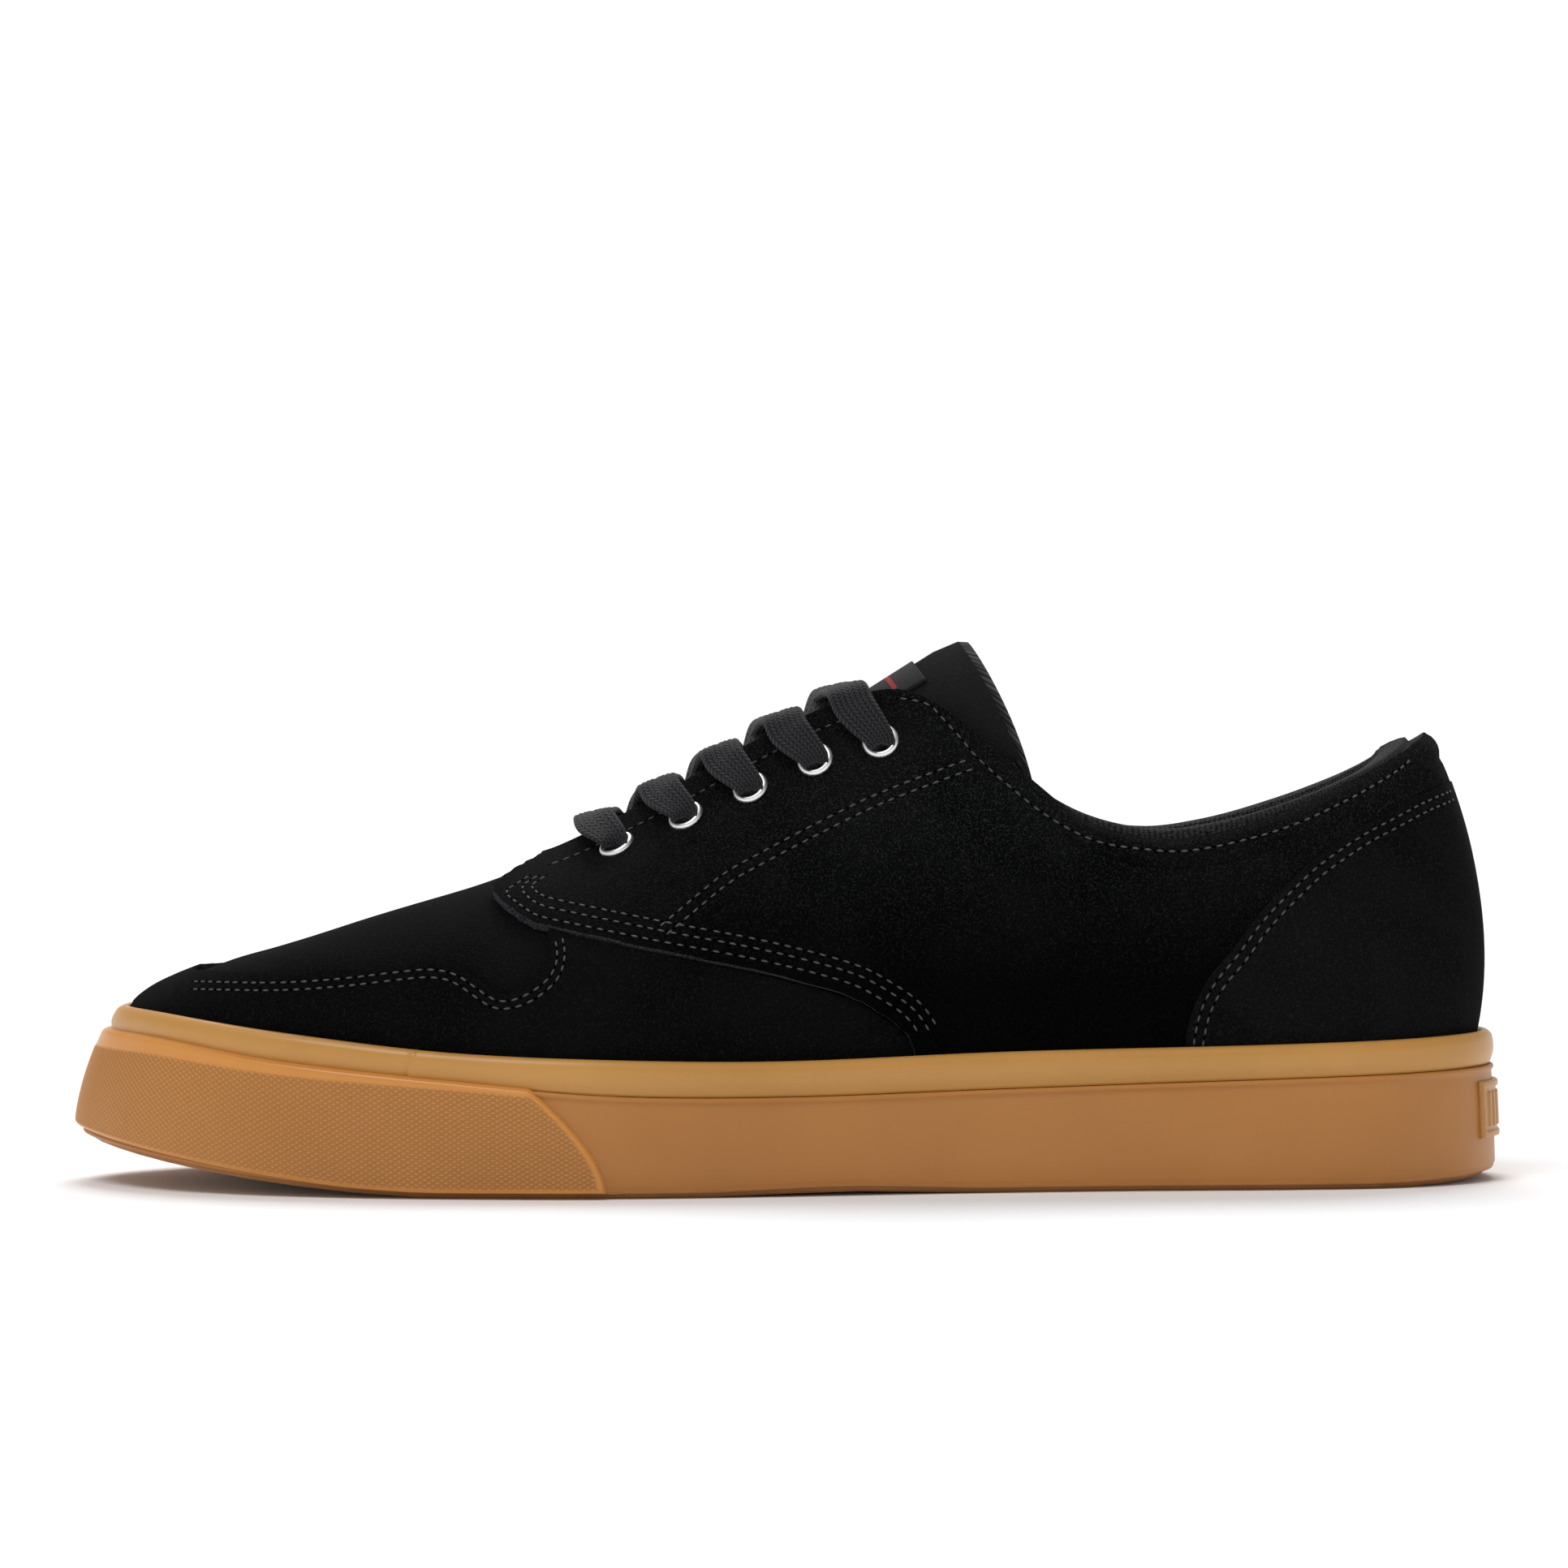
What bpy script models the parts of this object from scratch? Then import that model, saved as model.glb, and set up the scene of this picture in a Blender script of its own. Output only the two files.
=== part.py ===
"""Low skate shoe for the left foot: suede upper on a gum rubber sole, laced over a padded tongue.

Units are metres. The toe points along -X, the outer side of the foot is -Y, and Z is up.
The shoe stands on the plane Z = 0, with the middle of its box over the origin.
"""
import math

import bmesh
import bpy
from mathutils import Matrix, Vector

# Driving sizes of the shoe
sole_length = 0.2958
ball_width = 0.108
foxing_height = 0.0270
instep_height = 0.1020
toe_spring = 0.0092
arch_lift = 0.0008
heel_bevel = 0.0012
toe_turn = 0.0070
side_shift = 0.0006
toe_lean = 0.0086
side_lean = 0.0010
clearance = 0.0003

# Thickness of each layer
outsole_thickness = 0.0030
rim_drop = 0.0010
rim_width = 0.0020
tread_groove_depth = 0.0011
tread_groove_width = 0.0018
floor_at_toe = 0.0060
floor_at_heel = 0.0100
tape_thickness = 0.0019
tape_bulge = 0.0006
bumper_thickness = 0.0008
bumper_back_top = 0.326
bumper_back_foot = 0.379
badge_thickness = 0.0008
badge_rim = 0.0013
badge_recess = 0.0004
badge_half_width = 0.0150
badge_bottom = 0.0090
badge_height = 0.0118
wall_thickness = 0.0018
guard_thickness = 0.0012
quarter_thickness = 0.0020
counter_thickness = 0.0026
insole_thickness = 0.0040
pad_thickness = 0.0085
pad_depth = 0.036
pad_rise = 0.0022
tongue_top_thickness = 0.0085
tongue_root_thickness = 0.0032
label_thickness = 0.0008
label_width = 0.030
label_height = 0.0115

# Eyelets and lace
eyelets_a_side = 5
eyelet_flange = 0.00382
eyelet_opening = 0.0024
eyelet_barrel = 0.0028
eyelet_height = 0.0008
eyelet_setback = 0.0115
lace_width = 0.0085
lace_thickness = 0.0016

# Resolution of the solids
stations = 30
rows_over_tape = 6

OUTER = -1
INNER = 1


class Chart:
    """A short table with named columns, read by a smooth curve through its rows."""

    def __init__(self, columns, rows):
        self.columns = columns
        self.rows = rows

    def read(self, column, at):
        """Value of a column at a place along the first column."""
        k = self.columns.index(column)
        rows = self.rows
        at = min(max(at, rows[0][0]), rows[-1][0])
        i = 0
        while i < len(rows) - 2 and at > rows[i + 1][0]:
            i += 1

        def slope(j):
            low, high = max(j - 1, 0), min(j + 1, len(rows) - 1)
            return (rows[high][k] - rows[low][k]) / (rows[high][0] - rows[low][0])

        span = rows[i + 1][0] - rows[i][0]
        t = (at - rows[i][0]) / span
        start = (2 * t**3 - 3 * t**2 + 1) * rows[i][k] + (t**3 - 2 * t**2 + t) * span * slope(i)
        end = (3 * t**2 - 2 * t**3) * rows[i + 1][k] + (t**3 - t**2) * span * slope(i + 1)
        return start + end


# Sole seen from above: places as a share of the length, half widths as a share of the ball width,
# before the ends are rounded. Outer is the little toe's side.
SOLE_PLAN = Chart(
    ("along", "outer", "inner"),
    (
        (0.000, 0.420, 0.420),
        (0.047, 0.510, 0.528),
        (0.104, 0.542, 0.571),
        (0.190, 0.542, 0.565),
        (0.282, 0.527, 0.536),
        (0.380, 0.509, 0.484),
        (0.500, 0.458, 0.403),
        (0.620, 0.407, 0.356),
        (0.740, 0.401, 0.373),
        (0.850, 0.458, 0.436),
        (0.920, 0.518, 0.494),
        (0.970, 0.536, 0.514),
        (1.000, 0.520, 0.510),
    ),
)
end_fullness = 0.8

# Sole seen from the side: line between the two side bands and top of the upper band,
# as shares of the foxing height
SOLE_SIDE = Chart(
    ("along", "line", "top"),
    (
        (0.00, 1.185, 1.370),
        (0.06, 1.140, 1.330),
        (0.15, 1.000, 1.219),
        (0.27, 0.867, 1.081),
        (0.38, 0.763, 1.026),
        (0.50, 0.741, 1.004),
        (0.65, 0.778, 1.052),
        (0.80, 0.822, 1.081),
        (0.92, 0.859, 1.115),
        (1.00, 0.889, 1.148),
    ),
)

# Upper: a row for each section round one side of the foot, from the toe (0) to the heel (1).
# top_along is where the section ends on the crest, throat or collar, as a share of the length;
# gap is its half width there as a share of the ball width; top is its height as a share of the
# instep height; flare and lean are the tilt from upright, in degrees, at its foot and at its top;
# low and high are the lengths of the curve's two handles, as shares of the section's chord.
UPPER = Chart(
    ("around", "top_along", "gap", "top", "flare", "lean", "low", "high"),
    (
        (0.00, 0.135, 0.000, 0.462, -50, 90, 0.25, 0.33),
        (0.08, 0.149, 0.000, 0.473, -38, 90, 0.27, 0.36),
        (0.16, 0.183, 0.000, 0.503, -16, 90, 0.32, 0.42),
        (0.24, 0.233, 0.000, 0.558, 2, 90, 0.34, 0.44),
        (0.32, 0.294, 0.000, 0.618, 8, 90, 0.34, 0.44),
        (0.36, 0.328, 0.026, 0.648, 9, 80, 0.34, 0.43),
        (0.38, 0.344, 0.052, 0.664, 9, 72, 0.34, 0.41),
        (0.41, 0.375, 0.074, 0.709, 9, 62, 0.33, 0.38),
        (0.46, 0.432, 0.116, 0.799, 9, 52, 0.33, 0.36),
        (0.51, 0.486, 0.148, 0.889, 8, 43, 0.33, 0.35),
        (0.56, 0.541, 0.180, 0.963, 8, 36, 0.33, 0.35),
        (0.595, 0.580, 0.203, 0.988, 8, 30, 0.33, 0.34),
        (0.63, 0.614, 0.232, 0.943, 8, 24, 0.33, 0.34),
        (0.67, 0.662, 0.272, 0.826, 8, 14, 0.34, 0.34),
        (0.71, 0.709, 0.290, 0.739, 8, 8, 0.35, 0.34),
        (0.75, 0.757, 0.294, 0.707, 8, 6, 0.35, 0.34),
        (0.79, 0.804, 0.278, 0.724, 8, 6, 0.35, 0.34),
        (0.84, 0.855, 0.240, 0.769, 9, 10, 0.35, 0.34),
        (0.90, 0.9006, 0.180, 0.822, 10, 16, 0.35, 0.35),
        (0.94, 0.926, 0.126, 0.859, 11, 20, 0.35, 0.35),
        (0.97, 0.9422, 0.069, 0.889, 12, 23, 0.35, 0.35),
        (1.00, 0.949, 0.000, 0.906, 12, 25, 0.35, 0.35),
    ),
)
throat_start = 0.350
crest_turn = 0.0045

# Outlines of the overlays seen from the side: shares of the sole length and the instep height.
# Quarter: from the throat round its front corner and down to the sole.
QUARTER_FRONT = (
    (0.331, 0.653),
    (0.325, 0.642),
    (0.315, 0.627),
    (0.304, 0.606),
    (0.2986, 0.5895),
    (0.302, 0.5725),
    (0.3142, 0.547),
    (0.3284, 0.5245),
    (0.3547, 0.508),
    (0.4149, 0.474),
    (0.4834, 0.436),
    (0.5385, 0.394),
    (0.5611, 0.361),
    (0.577, 0.328),
    (0.5865, 0.284),
    (0.590, 0.150),
)
# Toe guard: from the crest back along the side, round the notch and up to the quarter.
GUARD_TOP = (
    (0.072, 0.480),
    (0.078, 0.437),
    (0.1003, 0.4294),
    (0.153, 0.4304),
    (0.1956, 0.439),
    (0.2341, 0.452),
    (0.2581, 0.458),
    (0.277, 0.449),
    (0.2916, 0.4235),
    (0.3064, 0.397),
    (0.3179, 0.401),
    (0.330, 0.4196),
    (0.3392, 0.445),
    (0.3416, 0.4745),
    (0.3385, 0.5130),
)
# Heel counter: from the sole up to the middle of the heel.
COUNTER_FRONT = (
    (0.7736, 0.150),
    (0.7736, 0.284),
    (0.7784, 0.355),
    (0.7895, 0.420),
    (0.8044, 0.4716),
    (0.8233, 0.544),
    (0.8436, 0.603),
    (0.8645, 0.656),
    (0.8953, 0.7127),
    (0.9179, 0.745),
    (0.9446, 0.781),
    (0.9696, 0.806),
    (1.060, 0.870),
)
quarter_foot = 0.5554
counter_foot = 0.684

# Tongue: a row for each section from its root under the vamp to its top edge.
# along and up are shares of the sole length and the instep height, half is the half width and
# drop the depth of its bend, as shares of the ball width.
TONGUE = Chart(
    ("share", "along", "up", "half", "drop"),
    (
        (0.00, 0.304, 0.568, 0.150, 0.060),
        (0.20, 0.372, 0.646, 0.176, 0.120),
        (0.45, 0.453, 0.795, 0.210, 0.175),
        (0.70, 0.530, 0.940, 0.228, 0.220),
        (0.88, 0.588, 1.046, 0.233, 0.248),
        (1.00, 0.622, 1.108, 0.226, 0.256),
    ),
)

# Collar pad section: share of its depth below the edge, thickness share, rise share
PAD_OUTSIDE = ((1.00, 0.0, 0.0), (0.66, 0.0, 0.0), (0.33, 0.0, 0.0), (0.03, 0.0, 0.0), (0.0, 0.10, 0.70))
PAD_INSIDE = ((1.00, 0.12, 0.0), (0.66, 0.72, 0.0), (0.33, 1.0, 0.0), (0.0, 0.84, 0.35), (0.0, 0.42, 1.0))
pad_front = 20 / 30

# Rubber and cloth colours, linear RGB
MATERIALS = {
    "suede": ((0.006, 0.006, 0.006), 0.95, 0.0),
    "knit": ((0.020, 0.019, 0.020), 0.90, 0.0),
    "gum": ((0.42, 0.19, 0.060), 0.45, 0.0),
    "tape_gum": ((0.47, 0.24, 0.075), 0.42, 0.0),
    "tread_gum": ((0.36, 0.16, 0.052), 0.60, 0.0),
    "lace": ((0.030, 0.028, 0.033), 0.85, 0.0),
    "eyelet": ((0.62, 0.61, 0.60), 0.35, 1.0),
    "label": ((0.012, 0.012, 0.013), 0.80, 0.0),
    "lining": ((0.025, 0.024, 0.025), 0.90, 0.0),
}

for item in list(bpy.data.objects):
    bpy.data.objects.remove(item, do_unlink=True)
SHOE = bpy.data.collections.new("skate_shoe")
CUTTERS = bpy.data.collections.new("cutters")
bpy.context.scene.collection.children.link(SHOE)
bpy.context.scene.collection.children.link(CUTTERS)


# Scene helpers
def material(name, finish):
    """Material of one piece, in one of the finishes above."""
    colour, roughness, metallic = MATERIALS[finish]
    made = bpy.data.materials.new(name)
    made.use_nodes = True
    shader = made.node_tree.nodes["Principled BSDF"]
    shader.inputs["Base Color"].default_value = (*colour, 1.0)
    shader.inputs["Roughness"].default_value = roughness
    shader.inputs["Metallic"].default_value = metallic
    return made


def piece(name, bm, finish, smooth=True):
    """Named object of the shoe from a finished bmesh."""
    mesh = bpy.data.meshes.new(name)
    bm.to_mesh(mesh)
    bm.free()
    if smooth:
        mesh.shade_smooth()
    mesh.materials.append(material(name, finish))
    made = bpy.data.objects.new(name, mesh)
    SHOE.objects.link(made)
    return made


def cutter(name, bm):
    """Hidden object that only cuts others."""
    bmesh.ops.recalc_face_normals(bm, faces=bm.faces)
    mesh = bpy.data.meshes.new(name)
    bm.to_mesh(mesh)
    bm.free()
    made = bpy.data.objects.new(name, mesh)
    made.hide_render = True
    made.display_type = "WIRE"
    CUTTERS.objects.link(made)
    return made


def cut(target, tool, operation):
    """Exact Boolean of a piece with a cutter."""
    step = target.modifiers.new(f"{operation.lower()}_{tool.name}", "BOOLEAN")
    step.operation = operation
    step.solver = "EXACT"
    step.object = tool


def thicken(target, thickness, outwards):
    """Solidify an open surface to one side."""
    step = target.modifiers.new("thickness", "SOLIDIFY")
    step.thickness = thickness
    step.offset = 1.0 if outwards else -1.0
    step.use_quality_normals = True


def sheet(bm, across, along, place):
    """Grid whose corners run from (0, 0) to (1, 1), laid onto a surface by place(a, b)."""
    verts = bmesh.ops.create_grid(bm, x_segments=across, y_segments=along, size=0.5)["verts"]
    for vert in verts:
        vert.co = place(vert.co.x + 0.5, vert.co.y + 0.5)
    return verts


def slab(name, across, along, front, back, finish):
    """Closed pad between two laid grids, joined round their edges."""
    bm = bmesh.new()
    sheet(bm, across, along, front)
    sheet(bm, across, along, back)
    rims = [edge for edge in bm.edges if edge.is_boundary]
    bmesh.ops.bridge_loops(bm, edges=rims)
    bmesh.ops.recalc_face_normals(bm, faces=bm.faces)
    return piece(name, bm, finish)


def loft(name, rings, finish, closed=False):
    """Solid through rings of points round the foot. Its ends are capped by straight rungs across
    the foot, from one side to the other, or the last ring meets the first."""
    bm = bmesh.new()
    loops = [[bm.verts.new(point) for point in ring] for ring in rings]
    count = len(loops[0])
    pairs = list(zip(loops, loops[1:]))
    if closed:
        pairs.append((loops[-1], loops[0]))
    for low, high in pairs:
        for i in range(count):
            j = (i + 1) % count
            bm.faces.new((low[i], low[j], high[j], high[i]))
    if not closed:
        half = count // 2
        for loop in (loops[0], loops[-1]):
            for i in range(half):
                corners = [loop[i], loop[i + 1], loop[(count - i - 1) % count], loop[(count - i) % count]]
                bm.faces.new(list(dict.fromkeys(corners)))
    bmesh.ops.recalc_face_normals(bm, faces=bm.faces)
    return piece(name, bm, finish)


# Sole shape
def split(around):
    """Side of the foot and share from toe to heel, for a share of the way round the foot."""
    around %= 1.0
    if around <= 0.5:
        return OUTER, 2.0 * around
    return INNER, 2.0 * (1.0 - around)


def join(side, share):
    """Share of the way round the foot, for a side and a share from toe to heel."""
    return share / 2.0 if side == OUTER else 1.0 - share / 2.0


def along_at(share):
    """Share of the length reached at a share of the way from toe to heel along the edge."""
    return (1.0 - math.cos(math.pi * share)) / 2.0


def share_at(along):
    """The reverse of along_at."""
    return math.acos(1.0 - 2.0 * along) / math.pi


def edge(around):
    """Point of the sole's outline."""
    side, share = split(around)
    along = along_at(share)
    column = "outer" if side == OUTER else "inner"
    half = SOLE_PLAN.read(column, along) * ball_width * math.sin(math.pi * share) ** end_fullness
    middle = toe_turn * max(0.0, 1.0 - 2.0 * along) ** 2 - side_shift
    return Vector(((along - 0.5) * sole_length, middle + side * half, 0.0))


def outward(around):
    """Unit vector square to the outline, pointing away from the foot."""
    run = edge(around + 0.002) - edge(around - 0.002)
    return Vector((run.y, -run.x, 0.0)).normalized()


def bottom(x):
    """Height of the tread: toe spring, lifted waist and bevelled heel."""
    along = x / sole_length + 0.5
    toe = max(0.0, (0.268 - along) / 0.268)
    waist = min(max((along - 0.43) / 0.22, 0.0), 1.0)
    heel = max(0.0, (along - 0.90) / 0.10)
    return toe_spring * toe**1.6 + arch_lift * math.sin(math.pi * waist) ** 2 + heel_bevel * heel**2


def line(x):
    """Height of the line between the two side bands."""
    return SOLE_SIDE.read("line", x / sole_length + 0.5) * foxing_height


def top(x):
    """Height of the upper band's top edge."""
    return SOLE_SIDE.read("top", x / sole_length + 0.5) * foxing_height


def floor(x):
    """Height of the floor inside the sidewall, under the foot."""
    along = x / sole_length + 0.5
    return bottom(x) + outsole_thickness + clearance + floor_at_toe + (floor_at_heel - floor_at_toe) * along


def side_point(around, height, inset):
    """Point of the sole's side at a height, moved in from its surface."""
    point = edge(around)
    away = outward(around)
    low = bottom(point.x) + rim_drop
    rise = max(0.0, (height - low) / (top(point.x) - low))
    forward = max(0.0, -away.x) ** 1.5
    lean = (side_lean + (toe_lean - side_lean) * forward) * rise**1.7
    point -= away * (lean + inset)
    point.z = height
    return point


# Upper shape
def cover(share):
    """Thickness of what lies on the upper's wall at the sole: toe guard, quarter or counter.
    It grows one station ahead of each overlay's front edge."""
    ahead = share + 1.1 / stations
    if ahead < quarter_foot:
        return clearance + guard_thickness
    if ahead < counter_foot:
        return clearance + quarter_thickness
    return clearance + counter_thickness


def seat(share):
    """Inset of the upper's wall from the sole's side."""
    thickest = guard_thickness + (counter_thickness - guard_thickness) * share
    return tape_thickness + 2.0 * clearance + thickest


def crest_y(along):
    """Side shift of the ridge, towards the big toe."""
    return crest_turn * max(0.0, 1.0 - along / 0.75) - side_shift


def upper_top(around):
    """Point on the crest, the throat's edge or the collar's edge."""
    side, share = split(around)
    along = UPPER.read("top_along", share)
    gap = UPPER.read("gap", share) * ball_width if share > throat_start else 0.0
    up = UPPER.read("top", share) * instep_height
    return Vector(((along - 0.5) * sole_length, crest_y(along) + side * max(gap, 0.0), up))


def crest_slope(share):
    """Rise of the crest over its run towards the heel."""
    ahead, behind = upper_top((share + 0.01) / 2.0), upper_top(max(share - 0.01, 0.0) / 2.0)
    return (ahead.z - behind.z) / max(ahead.x - behind.x, 1e-6)


def level_height(x, level):
    """Height at row level 0 (floor), 1 (line between the bands) or 2 (top of the upper band)."""
    heights = (floor(x) + 2 * clearance, line(x) + clearance, top(x))
    low = min(int(level), 1)
    return heights[low] + (heights[low + 1] - heights[low]) * (level - low)


def upper_surface(around, level):
    """Point of the upper's outer face. Levels 0 to 2 climb inside the sole, 2 to 3 are above it."""
    side, share = split(around)
    inset = seat(share)
    x = edge(around).x
    if level <= 2.0:
        return side_point(around, level_height(x, level), inset)
    foot = side_point(around, level_height(x, 2.0), inset)
    head = upper_top(around)
    chord = (head - foot).length
    away = outward(around)
    flare = math.radians(UPPER.read("flare", share))
    lean = math.radians(UPPER.read("lean", share))
    start = away * math.sin(flare) + Vector((0, 0, math.cos(flare)))
    if share <= throat_start:
        end = Vector((head.x - foot.x, head.y - foot.y, (head.x - foot.x) * crest_slope(share))).normalized()
    else:
        end = -away * math.sin(lean) + Vector((0, 0, math.cos(lean)))
    low = foot + start * chord * UPPER.read("low", share)
    high = head - end * chord * UPPER.read("high", share)
    t = level - 2.0
    return (1 - t) ** 3 * foot + 3 * (1 - t) ** 2 * t * low + 3 * (1 - t) * t * t * high + t**3 * head


def upper_normal(around, level):
    """Unit vector out of the upper's outer face."""
    reach, lift = 0.003, 0.02
    run = upper_surface(around + reach, level) - upper_surface(around - reach, level)
    side, share = split(around)
    if level > 2.5 and (share < reach * 2.0 or abs(share - throat_start) < 0.02):
        run = upper_surface(around + reach * 2.0, level) - upper_surface(around - reach * 2.0, level)
    if level > 2.98 and share <= throat_start:
        slope = crest_slope(share)
        return Vector((-slope, 0.0, 1.0)).normalized()
    if share > throat_start:
        level = min(level, 2.93)
        run = upper_surface(around + reach, level) - upper_surface(around - reach, level)
    rise = upper_surface(around, min(level + lift, 3.0)) - upper_surface(around, max(level - lift, 0.0))
    return run.cross(rise).normalized()


def upper_point(around, level, out):
    """Point at a distance out from the upper's outer face."""
    return upper_surface(around, level) + upper_normal(around, level) * out


def shell(name, levels, out, finish):
    """Open surface all round the foot at a distance from the upper's wall, closed along the crest."""

    def place(a, b):
        return upper_point(a, levels[round(b * (len(levels) - 1))], out)

    bm = bmesh.new()
    sheet(bm, 2 * stations, len(levels) - 1, place)
    bmesh.ops.remove_doubles(bm, verts=bm.verts, dist=0.0001)
    bmesh.ops.triangulate(bm, faces=bm.faces, quad_method="FIXED")
    return piece(name, bm, finish)


def down_from_edge(around, distance):
    """Level that lies a distance down the upper from its top edge."""
    level = 3.0
    here = upper_surface(around, level)
    gone = 0.0
    while gone < distance and level > 0.01:
        level -= 0.005
        there = upper_surface(around, level)
        gone += (there - here).length
        here = there
    return level


def outline_prism(name, outline, near, far):
    """Cutter with an outline seen from the side, between two planes across the shoe."""
    bm = bmesh.new()
    corners = [
        bm.verts.new(((along - 0.5) * sole_length, near, up * instep_height)) for along, up in outline
    ]
    face = bm.faces.new(corners)
    grown = bmesh.ops.extrude_face_region(bm, geom=[face])["geom"]
    moved = [item for item in grown if isinstance(item, bmesh.types.BMVert)]
    bmesh.ops.translate(bm, verts=moved, vec=(0.0, far - near, 0.0))
    return cutter(name, bm)


def shifted(outline, along, up):
    """Outline moved by a distance along the shoe and upwards."""
    return [(a + along / sole_length, u + up / instep_height) for a, u in outline]


ROUND_THE_FOOT = [i / (2 * stations) for i in range(2 * stations)]


def ring(height, inset):
    """Ring of points on the sole's side, with height and inset as functions of x and of share."""
    points = []
    for around in ROUND_THE_FOOT:
        share = split(around)[1]
        points.append(side_point(around, height(edge(around).x), inset(share)))
    return points


# Outsole: tread sheet
def build_outsole():
    inset = rim_width + clearance
    rings = [
        ring(lambda x: bottom(x), lambda s: inset + 0.0004),
        ring(lambda x: bottom(x) + 0.0005, lambda s: inset),
        ring(lambda x: bottom(x) + outsole_thickness, lambda s: inset),
    ]
    outsole = loft("outsole", rings, "tread_gum")
    bm = bmesh.new()
    for start, end, count in ((0.14, 0.40, 9), (0.70, 0.92, 6)):
        for i in range(count):
            along = start + (end - start) * i / (count - 1)
            x = (along - 0.5) * sole_length
            half = SOLE_PLAN.read("outer", along) * ball_width - 0.013
            half *= math.sin(math.pi * share_at(along)) ** end_fullness
            made = bmesh.ops.create_cube(bm, size=1.0)["verts"]
            bmesh.ops.scale(bm, verts=made, vec=(tread_groove_width, 2 * half, 2 * tread_groove_depth))
            tilt = math.atan2(bottom(x + 0.002) - bottom(x - 0.002), 0.004)
            bmesh.ops.rotate(bm, verts=made, matrix=Matrix.Rotation(-tilt, 3, "Y"))
            bmesh.ops.translate(bm, verts=made, vec=(x, toe_turn * max(0.0, 1 - 2 * along) ** 2, bottom(x)))
    cut(outsole, cutter("tread_grooves", bm), "DIFFERENCE")


# Sidewall: rubber cup with the lower side band and the floor
def build_sidewall():
    hole = rim_width
    rings = [
        ring(lambda x: bottom(x) + outsole_thickness + clearance, lambda s: hole),
        ring(lambda x: bottom(x) + rim_drop, lambda s: hole),
        ring(lambda x: bottom(x) + rim_drop, lambda s: 0.0008),
        ring(lambda x: bottom(x) + 0.0022, lambda s: 0.0001),
        ring(lambda x: (bottom(x) + line(x)) / 2, lambda s: 0.0),
        ring(lambda x: line(x) - 0.0010, lambda s: 0.0),
        ring(lambda x: line(x) - 0.0006, lambda s: -0.0002),
        ring(lambda x: line(x), lambda s: -0.0001),
        ring(lambda x: line(x), lambda s: seat(s) - 2 * clearance),
        ring(lambda x: floor(x), lambda s: seat(s) - 2 * clearance),
    ]
    loft("sidewall", rings, "gum")


# Foxing tape: bulging upper band
def build_tape():
    def inner(level):
        return [upper_point(a, level, cover(split(a)[1]) + clearance) for a in ROUND_THE_FOOT]

    rings = [
        inner(1.0),
        inner(2.0),
        ring(lambda x: top(x) - 0.0002, lambda s: 0.0008),
        ring(lambda x: top(x) - 0.0012, lambda s: 0.0001),
        ring(lambda x: (top(x) + line(x)) / 2, lambda s: -tape_bulge),
        ring(lambda x: line(x) + 0.0014, lambda s: 0.0),
        ring(lambda x: line(x) + clearance, lambda s: 0.0008),
    ]
    loft("foxing_tape", rings, "tape_gum", closed=True)


# Toe bumper: raised wrap round the toe, ending in a rounded slope on each side. Its back edge is
# given as shares of the length.
def build_bumper():
    def place(out):
        def point(a, b):
            back = bumper_back_top + (bumper_back_foot - bumper_back_top) * (1.0 - b**1.8)
            reach = share_at(back) / 2.0
            around = reach * (1.0 - 2.0 * a)
            x = edge(around).x
            low, high = bottom(x) + 1.2 * rim_drop, line(x) + 0.0002
            return side_point(around, low + (high - low) * b, -clearance - out)

        return point

    slab("toe_bumper", 24, 5, place(bumper_thickness), place(clearance), "gum")


# Heel badge: small plate on the heel with a raised rim
def from_heel(distance):
    """Share of the way round the foot from the middle of the heel to a distance beside it."""
    around = 0.5
    while (edge(around) - edge(0.5)).length < distance:
        around += 0.0005
    return around - 0.5


def with_rim(rim, inside):
    """Grid lines of a plate with a rim: edge, top of the rim, foot of the rim, and the field."""
    lines = [0.0, 0.6 * rim]
    lines += [rim + (1.0 - 2.0 * rim) * i / inside for i in range(inside + 1)]
    return lines + [1.0 - 0.6 * rim, 1.0]


def build_badge():
    reach = from_heel(badge_half_width)
    lines = with_rim(badge_rim / (2.0 * badge_half_width), 6)
    rows = with_rim(badge_rim / badge_height, 2)

    def place(out, recess):
        def point(a, b):
            i, j = round(a * (len(lines) - 1)), round(b * (len(rows) - 1))
            inside = 2 <= i <= len(lines) - 3 and 2 <= j <= len(rows) - 3
            around = 0.5 + reach * (2.0 * lines[i] - 1.0)
            depth = out - (recess if inside else 0.0)
            return side_point(around, badge_bottom + badge_height * rows[j], -clearance - depth)

        return point

    front = place(badge_thickness, badge_recess)
    slab("heel_badge", len(lines) - 1, len(rows) - 1, front, place(0.0, 0.0), "gum")


# Insole on the floor, inside the upper
def build_insole():
    def inset(s):
        return seat(s) + wall_thickness + 2.0 * clearance

    rings = [
        ring(lambda x: floor(x) + clearance, lambda s: inset(s) + 0.0006),
        ring(lambda x: floor(x) + insole_thickness * 0.8, inset),
        ring(lambda x: floor(x) + insole_thickness, lambda s: inset(s) + 0.0012),
    ]
    loft("insole", rings, "lining")


# Eyelets: where they sit and which way they face
def eyelet_seat(side, number):
    """Place round the foot and level of an eyelet, numbered from the toe."""
    share = 0.421 + (0.579 - 0.421) * number / (eyelets_a_side - 1)
    around = join(side, share)
    return around, down_from_edge(around, eyelet_setback)


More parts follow.
